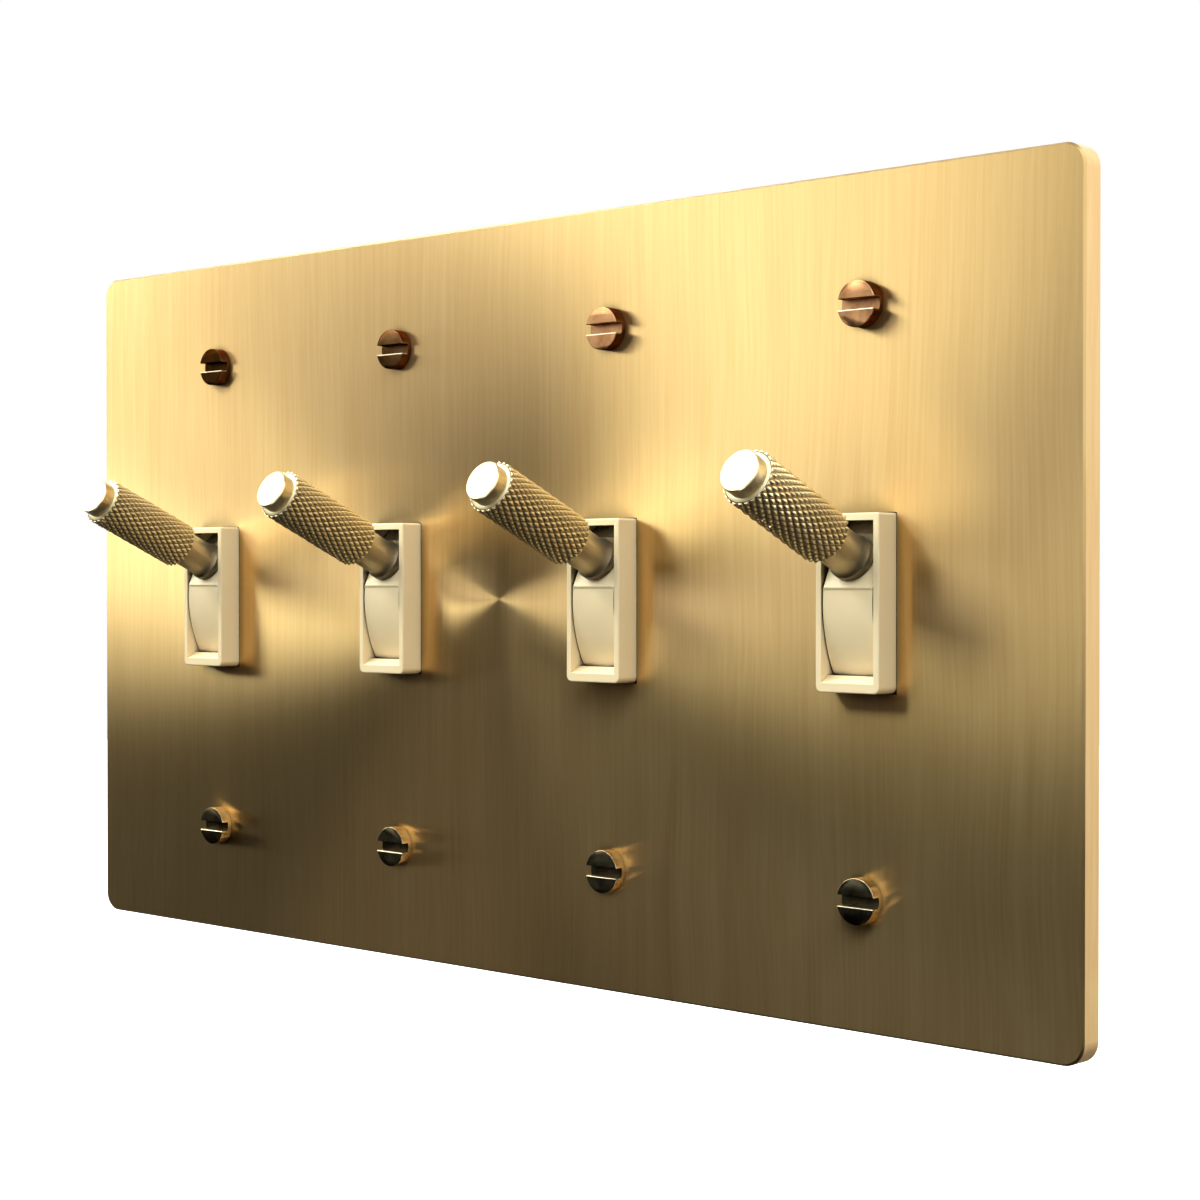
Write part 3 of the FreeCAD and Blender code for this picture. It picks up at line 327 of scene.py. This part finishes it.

# Cream moulding: faint cloudy flow under a glossy skin. Wherever the plastic is hemmed in, in the
# running gaps and in the slot over the rocker's block, its colour is darkened to near black brown
# by an occlusion measure: painted shade.
cream_finish, tree, surface = new_finish("moulded_cream_plastic")
place = add_node(tree, "ShaderNodeTexCoord")
flow = add_node(tree, "ShaderNodeTexNoise", {"Vector": place.outputs["Object"],
                                             "Scale": 1 / (11.1 * MM), "Detail": 2.0})
tint = add_node(tree, "ShaderNodeMix", {"Factor": flow.outputs["Fac"],
                                        6: linear("FCE2B4"), 7: linear("FEE9C0")},
                data_type="RGBA")
skin = add_node(tree, "ShaderNodeTexNoise", {"Vector": place.outputs["Object"],
                                             "Scale": 1 / (0.333 * MM), "Detail": 1.0})
rough = add_node(tree, "ShaderNodeMapRange", {"Value": flow.outputs["Fac"], "To Min": 0.30,
                                              "To Max": 0.38})
relief = add_node(tree, "ShaderNodeBump", {"Height": skin.outputs["Fac"], "Strength": 0.05,
                                           "Distance": 0.02 * MM})
# Painted shade: the cream is darkened towards dark brown where the plastic is occluded within a
# few millimetres.
occlusion_shade = add_node(tree, "ShaderNodeAmbientOcclusion", {"Distance": GAP_SHADE_REACH}, samples=8)
gap_painted_shade = add_node(tree, "ShaderNodeMapRange", {"Value": occlusion_shade.outputs["AO"], "From Min": 0.24,
                                              "From Max": 0.40, "To Min": 1.0, "To Max": 0.0},
                 interpolation_type="SMOOTHSTEP")
moulding = add_node(tree, "ShaderNodeMix", {"Factor": gap_painted_shade.outputs["Result"],
                                            6: tint.outputs[2], 7: linear("1E1814")},
                    data_type="RGBA")
tree.links.new(moulding.outputs[2], surface.inputs["Base Color"])
tree.links.new(rough.outputs["Result"], surface.inputs["Roughness"])
tree.links.new(relief.outputs["Normal"], surface.inputs["Normal"])
surface.inputs["Subsurface Weight"].default_value = 0.06
surface.inputs["Subsurface Scale"].default_value = 0.4 * MM
surface.inputs["Subsurface Radius"].default_value = (1.0, 0.6, 0.3)
surface.inputs["IOR"].default_value = 1.5
dress(cream_finish, *(f"toggle_{kind}_{g}" for kind in ("carrier", "frame") for g in GANGS))


# Switch bodies. Compression-moulded phenolic housings behind the plate, one for each lever, which
# hold the terminals and the see-saw contact and are riveted to the strap.

# Phenolic: nearly black brown, with cloudy flow marks and a dull gloss from the mould.
phenolic_finish, tree, surface = new_finish("dark_moulded_phenolic")
place = add_node(tree, "ShaderNodeTexCoord")
flow = add_node(tree, "ShaderNodeTexNoise", {"Vector": place.outputs["Object"],
                                             "Scale": 1 / (7.7 * MM), "Detail": 4.0,
                                             "Distortion": 1.2})
tint = add_node(tree, "ShaderNodeMix", {"Factor": flow.outputs["Fac"],
                                        6: linear("2A211D"), 7: linear("43352D")},
                data_type="RGBA")
rough = add_node(tree, "ShaderNodeMapRange", {"Value": flow.outputs["Fac"], "To Min": 0.34,
                                              "To Max": 0.52})
filler = add_node(tree, "ShaderNodeTexNoise", {"Vector": place.outputs["Object"],
                                               "Scale": 1 / (0.5 * MM), "Detail": 3.0})
relief = add_node(tree, "ShaderNodeBump", {"Height": filler.outputs["Fac"], "Strength": 0.2,
                                           "Distance": 0.05 * MM})
tree.links.new(tint.outputs[2], surface.inputs["Base Color"])
tree.links.new(rough.outputs["Result"], surface.inputs["Roughness"])
tree.links.new(relief.outputs["Normal"], surface.inputs["Normal"])
surface.inputs["IOR"].default_value = 1.6
dress(phenolic_finish, *(f"switch_body_{g}" for g in GANGS))


# Strap rivets and pivot pins. Drawn steel wire: the rivets are headed at both ends through strap,
# cover and housing, and each pin carries one lever between its two cheeks.

# Bright drawn steel: pale grey with dull patches where it was upset and oiled.
wire_finish, tree, surface = new_finish("bright_drawn_steel")
place = add_node(tree, "ShaderNodeTexCoord")
oil = add_node(tree, "ShaderNodeTexNoise", {"Vector": place.outputs["Object"],
                                            "Scale": 1 / (1.5 * MM), "Detail": 3.0})
tint = add_node(tree, "ShaderNodeMix", {"Factor": oil.outputs["Fac"],
                                        6: linear("9B9C9D"), 7: linear("CACBCC")},
                data_type="RGBA")
rough = add_node(tree, "ShaderNodeMapRange", {"Value": oil.outputs["Fac"], "To Min": 0.18,
                                              "To Max": 0.42})
grain = add_node(tree, "ShaderNodeTexNoise", {"Vector": place.outputs["Object"],
                                              "Scale": 1 / (0.25 * MM), "Detail": 2.0})
relief = add_node(tree, "ShaderNodeBump", {"Height": grain.outputs["Fac"], "Strength": 0.15,
                                           "Distance": 0.02 * MM})
tree.links.new(tint.outputs[2], surface.inputs["Base Color"])
tree.links.new(rough.outputs["Result"], surface.inputs["Roughness"])
tree.links.new(relief.outputs["Normal"], surface.inputs["Normal"])
surface.inputs["Metallic"].default_value = 1.0
dress(wire_finish, "strap_rivets", "pivot_pins")


# Terminals. Half-hard brass strip, stamped and folded: one carries the fixed contact and one the
# edge on which the see-saw rocks. Their outer plates lie on the sides of the housing.

# Rolled brass: yellow, with fine rolling lines along the strip and faint brown tarnish.
strip_finish, tree, surface = new_finish("rolled_brass_strip")
place = add_node(tree, "ShaderNodeTexCoord")
lines = add_node(tree, "ShaderNodeMapping", {"Vector": place.outputs["Object"],
                                             "Scale": (1 / (6 * MM), 1 / (0.3 * MM),
                                                       1 / (0.3 * MM))})
rolled = add_node(tree, "ShaderNodeTexNoise", {"Vector": lines.outputs["Vector"], "Scale": 1.0,
                                               "Detail": 2.0})
tarnish = add_node(tree, "ShaderNodeTexNoise", {"Vector": place.outputs["Object"],
                                                "Scale": 1 / (3 * MM), "Detail": 4.0})
stain = add_node(tree, "ShaderNodeMapRange", {"Value": tarnish.outputs["Fac"], "From Min": 0.35,
                                              "From Max": 0.7})
tint = add_node(tree, "ShaderNodeMix", {"Factor": stain.outputs["Result"],
                                        6: linear("DDBB6C"), 7: linear("B08A4A")},
                data_type="RGBA")
rough = add_node(tree, "ShaderNodeMapRange", {"Value": stain.outputs["Result"], "To Min": 0.24,
                                              "To Max": 0.44})
relief = add_node(tree, "ShaderNodeBump", {"Height": rolled.outputs["Fac"], "Strength": 0.15,
                                           "Distance": 0.03 * MM})
tree.links.new(tint.outputs[2], surface.inputs["Base Color"])
tree.links.new(rough.outputs["Result"], surface.inputs["Roughness"])
tree.links.new(relief.outputs["Normal"], surface.inputs["Normal"])
surface.inputs["Metallic"].default_value = 1.0
dress(strip_finish, *(f"{side}_terminal_{g}" for side in ("line", "load") for g in GANGS))


# Contact rockers. Copper strip, blanked and pressed into a shallow dish with a raised contact
# button. Each rocks loose on the edge of its terminal, tipped by the plunger in front of it.

# Half-hard copper: reddish and bright, with darker oxide over it in clouds.
copper_finish, tree, surface = new_finish("half_hard_copper")
place = add_node(tree, "ShaderNodeTexCoord")
oxide = add_node(tree, "ShaderNodeTexNoise", {"Vector": place.outputs["Object"],
                                              "Scale": 1 / (1.2 * MM), "Detail": 4.0})
tint = add_node(tree, "ShaderNodeMix", {"Factor": oxide.outputs["Fac"],
                                        6: linear("D98F68"), 7: linear("A9603F")},
                data_type="RGBA")
rough = add_node(tree, "ShaderNodeMapRange", {"Value": oxide.outputs["Fac"], "To Min": 0.22,
                                              "To Max": 0.45})
tree.links.new(tint.outputs[2], surface.inputs["Base Color"])
tree.links.new(rough.outputs["Result"], surface.inputs["Roughness"])
surface.inputs["Metallic"].default_value = 1.0
dress(copper_finish, *(f"contact_rocker_{g}" for g in GANGS))


# Terminal screws. Turned brass screws with a slot for a driver, nickel plated. They are tapped
# into the outer plates of the terminals and clamp the wires on them.

# Nickel: warm white and smooth, with soft spots where a driver has rubbed it.
nickel_finish, tree, surface = new_finish("nickel_plated_brass")
place = add_node(tree, "ShaderNodeTexCoord")
rubbed = add_node(tree, "ShaderNodeTexNoise", {"Vector": place.outputs["Object"],
                                               "Scale": 1 / (0.8 * MM), "Detail": 3.0})
tint = add_node(tree, "ShaderNodeMix", {"Factor": rubbed.outputs["Fac"],
                                        6: linear("C6BFB0"), 7: linear("E4DED1")},
                data_type="RGBA")
rough = add_node(tree, "ShaderNodeMapRange", {"Value": rubbed.outputs["Fac"], "To Min": 0.16,
                                              "To Max": 0.36})
tree.links.new(tint.outputs[2], surface.inputs["Base Color"])
tree.links.new(rough.outputs["Result"], surface.inputs["Roughness"])
surface.inputs["Metallic"].default_value = 1.0
dress(nickel_finish, "terminal_screws")


# Earth screws. Steel screws behind the lower ears of the straps, dyed green in the plating bath so
# that the earth is known at a glance.

# Green chromate on zinc: a dark metallic green that thins to grey in clouds.
green_finish, tree, surface = new_finish("green_chromated_steel")
place = add_node(tree, "ShaderNodeTexCoord")
dye = add_node(tree, "ShaderNodeTexNoise", {"Vector": place.outputs["Object"],
                                            "Scale": 1 / (0.9 * MM), "Detail": 4.0})
tint = add_node(tree, "ShaderNodeMix", {"Factor": dye.outputs["Fac"],
                                        6: linear("2C6E3B"), 7: linear("5FA266")},
                data_type="RGBA")
rough = add_node(tree, "ShaderNodeMapRange", {"Value": dye.outputs["Fac"], "To Min": 0.25,
                                              "To Max": 0.42})
tree.links.new(tint.outputs[2], surface.inputs["Base Color"])
tree.links.new(rough.outputs["Result"], surface.inputs["Roughness"])
surface.inputs["Metallic"].default_value = 0.8
dress(green_finish, "earth_screws")


# Plungers. Turned nylon pegs with a ball end. Each slides in a bore in the back of its rocker and
# is pressed against the see-saw contact by a spring.

# Nylon: milky white, waxy, with the lathe's faint marks.
nylon_finish, tree, surface = new_finish("turned_white_nylon")
place = add_node(tree, "ShaderNodeTexCoord")
milk = add_node(tree, "ShaderNodeTexNoise", {"Vector": place.outputs["Object"],
                                             "Scale": 1 / (0.7 * MM), "Detail": 2.0})
tint = add_node(tree, "ShaderNodeMix", {"Factor": milk.outputs["Fac"],
                                        6: linear("E4E1D6"), 7: linear("F1EFE7")},
                data_type="RGBA")
rough = add_node(tree, "ShaderNodeMapRange", {"Value": milk.outputs["Fac"], "To Min": 0.38,
                                              "To Max": 0.5})
tree.links.new(tint.outputs[2], surface.inputs["Base Color"])
tree.links.new(rough.outputs["Result"], surface.inputs["Roughness"])
surface.inputs["Subsurface Weight"].default_value = 0.2
surface.inputs["Subsurface Scale"].default_value = 0.5 * MM
surface.inputs["IOR"].default_value = 1.53
dress(nylon_finish, *(f"plunger_{g}" for g in GANGS))


# Plunger springs. Drawn spring wire, coiled and oiled. Each stands loose in its bore between the
# plunger and the closed end.

# Spring steel: mid grey with a bluish oil film that varies along the wire.
spring_finish, tree, surface = new_finish("oiled_spring_steel")
place = add_node(tree, "ShaderNodeTexCoord")
film = add_node(tree, "ShaderNodeTexNoise", {"Vector": place.outputs["Object"],
                                             "Scale": 1 / (0.6 * MM), "Detail": 2.0})
tint = add_node(tree, "ShaderNodeMix", {"Factor": film.outputs["Fac"],
                                        6: linear("7E8287"), 7: linear("A9ABAE")},
                data_type="RGBA")
rough = add_node(tree, "ShaderNodeMapRange", {"Value": film.outputs["Fac"], "To Min": 0.2,
                                              "To Max": 0.38})
tree.links.new(tint.outputs[2], surface.inputs["Base Color"])
tree.links.new(rough.outputs["Result"], surface.inputs["Roughness"])
surface.inputs["Metallic"].default_value = 1.0
dress(spring_finish, *(f"plunger_spring_{g}" for g in GANGS))


# Lever stems. Brass bar turned to a smooth neck with a rounded foot. The foot stands on the
# rocker's flat block, and a thinner root behind it is fixed inside the rocker.

LEVER_TILT = math.radians(25)
PIVOT_DEPTH = 6.6 * MM
FOOT_START = 13.35 * MM
FOOT_SHADE_END = 17.4 * MM
UNDERSIDE = 1.9 * MM
TOOL_RINGS = 0.12 * MM
ALONG = Vector((0, -math.cos(LEVER_TILT), math.sin(LEVER_TILT)))
ACROSS = Vector((0, math.sin(LEVER_TILT), math.cos(LEVER_TILT)))

# Satin turned brass: pale, soft gloss, with the lathe's fine rings running round it. They are
# drawn 0.12 mm apart, a little coarser than a tool leaves them, so that they show. On the lower
# side of the foot, next to the block, the brass is coloured dark brown: painted shade.
lever_finish, tree, surface = new_finish("satin_turned_brass")
place = add_node(tree, "ShaderNodeTexCoord")
up_lever = add_node(tree, "ShaderNodeVectorMath", {0: place.outputs["Object"],
                                                   1: ALONG / TOOL_RINGS},
                    operation="DOT_PRODUCT")
rings = add_node(tree, "ShaderNodeTexNoise", {"W": up_lever.outputs["Value"], "Scale": 1.0,
                                              "Detail": 2.0}, noise_dimensions="1D")
tone = add_node(tree, "ShaderNodeTexNoise", {"Vector": place.outputs["Object"],
                                             "Scale": 1 / (6.25 * MM), "Detail": 3.0})
tint = add_node(tree, "ShaderNodeMix", {"Factor": tone.outputs["Fac"],
                                        6: linear("CCBA96"), 7: linear("DFD0AF")},
                data_type="RGBA")
pivot_along = PIVOT_DEPTH * math.cos(LEVER_TILT)
pivot_across = PIVOT_DEPTH * math.sin(LEVER_TILT)
# Painted shade: dark brown on the foot's underside, fading out along the lever and upwards.
from_block = add_node(tree, "ShaderNodeMapRange",
                      {"Value": up_lever.outputs["Value"],
                       "From Min": (FOOT_START - pivot_along) / TOOL_RINGS,
                       "From Max": (FOOT_SHADE_END - pivot_along) / TOOL_RINGS,
                       "To Min": 1.0, "To Max": 0.0})
under = add_node(tree, "ShaderNodeVectorMath", {0: place.outputs["Object"], 1: ACROSS},
                 operation="DOT_PRODUCT")
below = add_node(tree, "ShaderNodeMapRange", {"Value": under.outputs["Value"],
                                              "From Min": pivot_across,
                                              "From Max": pivot_across - UNDERSIDE})
foot_painted_shade = add_node(tree, "ShaderNodeMath", {0: from_block.outputs["Result"],
                                            1: below.outputs["Result"]}, operation="MULTIPLY")
skin = add_node(tree, "ShaderNodeMix", {"Factor": foot_painted_shade.outputs["Value"],
                                        6: tint.outputs[2], 7: linear("2E2316")},
                data_type="RGBA")
rough = add_node(tree, "ShaderNodeMapRange", {"Value": tone.outputs["Fac"], "To Min": 0.44,
                                              "To Max": 0.54})
relief = add_node(tree, "ShaderNodeBump", {"Height": rings.outputs["Fac"], "Strength": 0.12,
                                           "Distance": 0.03 * MM})
tree.links.new(skin.outputs[2], surface.inputs["Base Color"])
tree.links.new(rough.outputs["Result"], surface.inputs["Roughness"])
tree.links.new(relief.outputs["Normal"], surface.inputs["Normal"])
surface.inputs["Metallic"].default_value = 1.0
dress(lever_finish, *(f"lever_stem_{g}" for g in GANGS))


# Knurled grips. Brass sleeves, diamond knurled by two crossing rollers: sharp grooves are pressed
# in and the metal between them swells into rounded points. Each slides over its stem and is held
# by the end cap.

KNURL_STARTS = 24
KNURL_ROWS = 20
GRIP_START = 20.7 * MM
GRIP_LENGTH = 17.0 * MM
CREST_RADIUS = 3.92 * MM
KNURL_DEPTH = 0.36 * MM
RUBBED_RADIUS = CREST_RADIUS - 0.55 * KNURL_DEPTH
DIRTY_RADIUS = CREST_RADIUS - 0.95 * KNURL_DEPTH
RIM_RADIUS = CREST_RADIUS - 1.15 * KNURL_DEPTH
BELOW_KNURL = CREST_RADIUS - 1.3 * KNURL_DEPTH
DOME_SHARE = 0.3


def from_lever_axis(tree, place):
    """The distance of each point from the axis of its own lever."""
    axes = add_node(tree, "ShaderNodeSeparateXYZ", {"Vector": place.outputs["Object"]})
    from_gang = add_node(tree, "ShaderNodeMath", {0: axes.outputs["X"], 1: GANG_PITCH / 2},
                         operation="SUBTRACT")
    beside = add_node(tree, "ShaderNodeMath", {0: from_gang.outputs["Value"], 1: GANG_PITCH / 2,
                                               2: -GANG_PITCH / 2}, operation="WRAP")
    over = add_node(tree, "ShaderNodeVectorMath", {0: place.outputs["Object"], 1: ACROSS},
                    operation="DOT_PRODUCT")
    above = add_node(tree, "ShaderNodeMath", {0: over.outputs["Value"], 1: pivot_across},
                     operation="SUBTRACT")
    middle = add_node(tree, "ShaderNodeCombineXYZ", {"X": beside.outputs["Value"],
                                                     "Y": above.outputs["Value"]})
    return add_node(tree, "ShaderNodeVectorMath", {0: middle.outputs["Vector"]},
                    operation="LENGTH")


# Knurled brass: bare and pale on the points, where fingers rub it, and brown in the grooves,
# where polish never reaches. The height over the lever's own axis tells one from the other.
grip_finish, tree, surface = new_finish("diamond_knurled_brass")
place = add_node(tree, "ShaderNodeTexCoord")
reach = from_lever_axis(tree, place)
points = add_node(tree, "ShaderNodeMapRange", {"Value": reach.outputs["Value"],
                                               "From Min": DIRTY_RADIUS,
                                               "From Max": RUBBED_RADIUS})
rim = add_node(tree, "ShaderNodeMath", {0: reach.outputs["Value"], 1: RIM_RADIUS},
               operation="LESS_THAN")
rubbed = add_node(tree, "ShaderNodeMath", {0: points.outputs["Result"],
                                           1: rim.outputs["Value"]}, operation="MAXIMUM")
tone = add_node(tree, "ShaderNodeTexNoise", {"Vector": place.outputs["Object"],
                                             "Scale": 1 / (3.85 * MM), "Detail": 3.0})
bare = add_node(tree, "ShaderNodeMix", {"Factor": tone.outputs["Fac"],
                                        6: linear("EEDCB0"), 7: linear("FAEECB")},
                data_type="RGBA")
tint = add_node(tree, "ShaderNodeMix", {"Factor": rubbed.outputs["Value"],
                                        6: linear("94815A"), 7: bare.outputs[2]},
                data_type="RGBA")
rough_points = add_node(tree, "ShaderNodeMapRange", {"Value": rubbed.outputs["Value"],
                                                     "To Min": 0.5, "To Max": 0.38})
rough = add_node(tree, "ShaderNodeMath", {0: rim.outputs["Value"], 1: 0.14,
                                          2: rough_points.outputs["Result"]},
                 operation="MULTIPLY_ADD")
tree.links.new(tint.outputs[2], surface.inputs["Base Color"])
tree.links.new(rough.outputs["Value"], surface.inputs["Roughness"])
surface.inputs["Metallic"].default_value = 1.0

for g in GANGS:
    name = f"knurled_grip_{g}"
    low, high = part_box(name)
    pivot = Vector(((low[0] + high[0]) / 2, PIVOT_DEPTH, 0))
    bpy.ops.object.select_all(action="DESELECT")
    grip = bpy.data.objects.new(f"grip_sleeve_{g}", nodes[name].data.copy())
    bpy.context.scene.collection.objects.link(grip)
    bpy.context.view_layer.objects.active = grip
    grip.select_set(True)
    bpy.ops.object.mode_set(mode="EDIT")
    bpy.ops.mesh.select_mode(type="FACE")
    bpy.ops.mesh.select_all(action="SELECT")
    bpy.ops.mesh.remove_doubles(threshold=MERGE)
    bpy.ops.mesh.select_all(action="DESELECT")
    bpy.ops.object.mode_set(mode="OBJECT")
    for face in grip.data.polygons:
        middle = face.center - pivot
        outside = (middle - ALONG * middle.dot(ALONG)).length > BELOW_KNURL
        face.select = outside and abs(face.normal.dot(ALONG)) < 0.9
    bpy.ops.object.mode_set(mode="EDIT")
    bpy.ops.mesh.subdivide(number_cuts=3)
    bpy.ops.object.mode_set(mode="OBJECT")
    for spot in grip.data.vertices:
        arm = spot.co - pivot
        height = arm.dot(ALONG)
        beside, above = arm.x, arm.dot(ACROSS)
        if math.hypot(beside, above) < BELOW_KNURL:
            continue
        turn = math.atan2(above, beside)
        step = turn * KNURL_STARTS / math.pi
        row = (height - GRIP_START) * KNURL_ROWS / GRIP_LENGTH
        one_way, other_way = (step + row) / 2, (step - row) / 2
        dome = abs(math.cos(math.pi * one_way) * math.cos(math.pi * other_way))
        point = 1 - 2 * max(abs(one_way - round(one_way)), abs(other_way - round(other_way)))
        radius = CREST_RADIUS - KNURL_DEPTH * (1 - DOME_SHARE * dome - (1 - DOME_SHARE) * point)
        spot.co = (pivot + ALONG * height + Vector((radius * math.cos(turn), 0, 0))
                   + ACROSS * radius * math.sin(turn))
    bpy.ops.object.shade_smooth_by_angle(angle=math.radians(32))
    grip.data.materials.clear()
    grip.data.materials.append(grip_finish)
    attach(grip, f"lever_{g}")
    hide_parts(name)


# End caps. Turned brass, faced and lightly polished. A threaded spigot screws into the end of the
# stem and holds the grip on.

CAP_RINGS = 0.15 * MM

# Polished turned brass: smoother and brighter than the stem, with rings on its flat face that
# are drawn 0.15 mm apart.
cap_finish, tree, surface = new_finish("polished_turned_brass")
place = add_node(tree, "ShaderNodeTexCoord")
reach = from_lever_axis(tree, place)
ring_place = add_node(tree, "ShaderNodeMath", {0: reach.outputs["Value"], 1: 1 / CAP_RINGS},
                      operation="MULTIPLY")
rings = add_node(tree, "ShaderNodeTexNoise", {"W": ring_place.outputs["Value"], "Scale": 1.0,
                                              "Detail": 1.0}, noise_dimensions="1D")
tone = add_node(tree, "ShaderNodeTexNoise", {"Vector": place.outputs["Object"],
                                             "Scale": 1 / (5 * MM), "Detail": 3.0})
tint = add_node(tree, "ShaderNodeMix", {"Factor": tone.outputs["Fac"],
                                        6: linear("E0CA9E"), 7: linear("EEDCB6")},
                data_type="RGBA")
rough = add_node(tree, "ShaderNodeMapRange", {"Value": rings.outputs["Fac"], "To Min": 0.28,
                                              "To Max": 0.38})
relief = add_node(tree, "ShaderNodeBump", {"Height": rings.outputs["Fac"], "Strength": 0.1,
                                           "Distance": 0.02 * MM})
tree.links.new(tint.outputs[2], surface.inputs["Base Color"])
tree.links.new(rough.outputs["Result"], surface.inputs["Roughness"])
tree.links.new(relief.outputs["Normal"], surface.inputs["Normal"])
surface.inputs["Metallic"].default_value = 1.0
dress(cap_finish, *(f"end_cap_{g}" for g in GANGS))


# Camera. It stands level with the middle of the plate and to its right, at the place and with the
# lens worked out from the photograph's edges, and looks down by half a degree.

CAMERA_PLACE = (0.25720, -0.25453, 0.00370)
CAMERA_YAW = -0.7548
CAMERA_PITCH = 0.0106
CAMERA_LENS = 70.59
forward = Vector((math.sin(CAMERA_YAW) * math.cos(CAMERA_PITCH),
                  math.cos(CAMERA_YAW) * math.cos(CAMERA_PITCH), -math.sin(CAMERA_PITCH)))
right = Vector((math.cos(CAMERA_YAW), -math.sin(CAMERA_YAW), 0))
up = right.cross(forward)
camera = bpy.data.objects.new("camera", bpy.data.cameras.new("camera"))
bpy.context.scene.collection.objects.link(camera)
camera.data.sensor_width = 36.0
camera.data.lens = CAMERA_LENS
camera.data.clip_start = 0.01
turn = Matrix((right, up, -forward)).transposed()
camera.matrix_world = Matrix.Translation(CAMERA_PLACE) @ turn.to_4x4()
bpy.context.scene.camera = camera


# Studio. A white background that only the camera sees, soft boxes round the plate, and a world
# that is bright behind the plate, so that its back is lit, and nearly dark in front of it.

bpy.context.scene.view_settings.view_transform = "Standard"
world = bpy.data.worlds.new("studio")
bpy.context.scene.world = world
world.use_nodes = True
sky = world.node_tree
sky.nodes.clear()
way = add_node(sky, "ShaderNodeTexCoord")
side_of = add_node(sky, "ShaderNodeSeparateXYZ", {"Vector": way.outputs["Generated"]})
behind = add_node(sky, "ShaderNodeMapRange", {"Value": side_of.outputs["Y"], "From Min": -0.05,
                                              "From Max": 0.4, "To Min": 0.04, "To Max": 1.5})
above = add_node(sky, "ShaderNodeMapRange", {"Value": side_of.outputs["Z"], "From Min": -0.45,
                                             "From Max": 0.25, "To Min": 0.1, "To Max": 1.05})
rise = add_node(sky, "ShaderNodeMath", {0: behind.outputs["Result"], 1: above.outputs["Result"]},
                operation="MULTIPLY")
seen = add_node(sky, "ShaderNodeLightPath")
strength = add_node(sky, "ShaderNodeMix", {"Factor": seen.outputs["Is Camera Ray"],
                                           2: rise.outputs["Value"], 3: 1.0}, data_type="FLOAT")
glow = add_node(sky, "ShaderNodeBackground", {"Color": (1, 1, 1, 1),
                                              "Strength": strength.outputs[0]})
add_node(sky, "ShaderNodeOutputWorld", {"Surface": glow.outputs["Background"]})


def soft_light(name, spot, wide, tall, power, colour):
    """A soft box at a spot, turned towards the middle of the plate."""
    lamp = bpy.data.lights.new(name, "AREA")
    lamp.shape = "RECTANGLE"
    lamp.size = wide
    lamp.size_y = tall
    lamp.energy = power
    lamp.color = colour
    box = bpy.data.objects.new(name, lamp)
    bpy.context.scene.collection.objects.link(box)
    box.location = spot
    box.rotation_euler = (-spot).to_track_quat("-Z", "Y").to_euler()


def around(azimuth, elevation, distance):
    """A spot in front of the plate: degrees to the right of straight ahead and degrees up."""
    flat = math.cos(math.radians(elevation)) * distance
    return Vector((flat * math.sin(math.radians(azimuth)), -flat * math.cos(math.radians(azimuth)),
                   math.sin(math.radians(elevation)) * distance))


# Each lamp: name, azimuth and elevation in degrees, width and height in metres, watts, colour.
LAMP_DISTANCE = 2.5
LAMPS = (
    ("key", -60, 20, 0.68, 0.87, 20.0, (0.95, 1.0, 0.87)),
    ("key_edge", -45, 13, 0.66, 0.70, 3.1, (1.0, 1.0, 1.0)),
    ("high", -33, 35, 0.75, 0.50, 12.0, (0.97, 1.0, 0.83)),
    ("high_right", -16, 33, 0.60, 0.60, 1.3, (1.0, 1.0, 0.85)),
    ("top_left", -72, 50, 1.00, 0.87, 52.0, (0.96, 1.0, 1.0)),
    ("top_middle", -45, 62, 1.00, 0.70, 5.0, (0.80, 0.90, 1.0)),
    ("top", -8, 55, 1.40, 0.90, 10.5, (0.85, 1.0, 1.0)),
    ("fill_right", 40, 22, 1.85, 1.80, 24.0, (0.97, 1.0, 0.97)),
    ("top_right", 55, 52, 2.20, 0.90, 23.0, (0.88, 0.97, 1.0)),
    ("side", 125, 20, 1.00, 1.80, 37.0, (1.0, 1.0, 0.85)),
    ("low_left", -84, -2, 0.80, 0.90, 3.3, (1.0, 1.0, 0.85)),
    ("low_front", 20, -20, 2.00, 1.20, 9.0, (1.0, 0.96, 0.86)),
    ("low", 0, -30, 0.70, 0.50, 12.0, (1.0, 0.97, 0.90)),
)
for name, azimuth, elevation, wide, tall, power, colour in LAMPS:
    soft_light(name, around(azimuth, elevation, LAMP_DISTANCE), wide, tall, power, colour)

FLOOR_SIZE = 8.0
FLOOR_LEVEL = -0.35
bpy.ops.mesh.primitive_plane_add(size=FLOOR_SIZE, location=(0, 0, FLOOR_LEVEL))
floor = bpy.context.object
floor.name = "floor"
floor_finish, _, surface = new_finish("white_paper")
surface.inputs["Base Color"].default_value = linear("F4F4F2")
surface.inputs["Roughness"].default_value = 0.9
surface.inputs["Emission Color"].default_value = (1, 1, 1, 1)
surface.inputs["Emission Strength"].default_value = 1.0
floor.data.materials.append(floor_finish)
floor.visible_glossy = False
floor.visible_diffuse = False
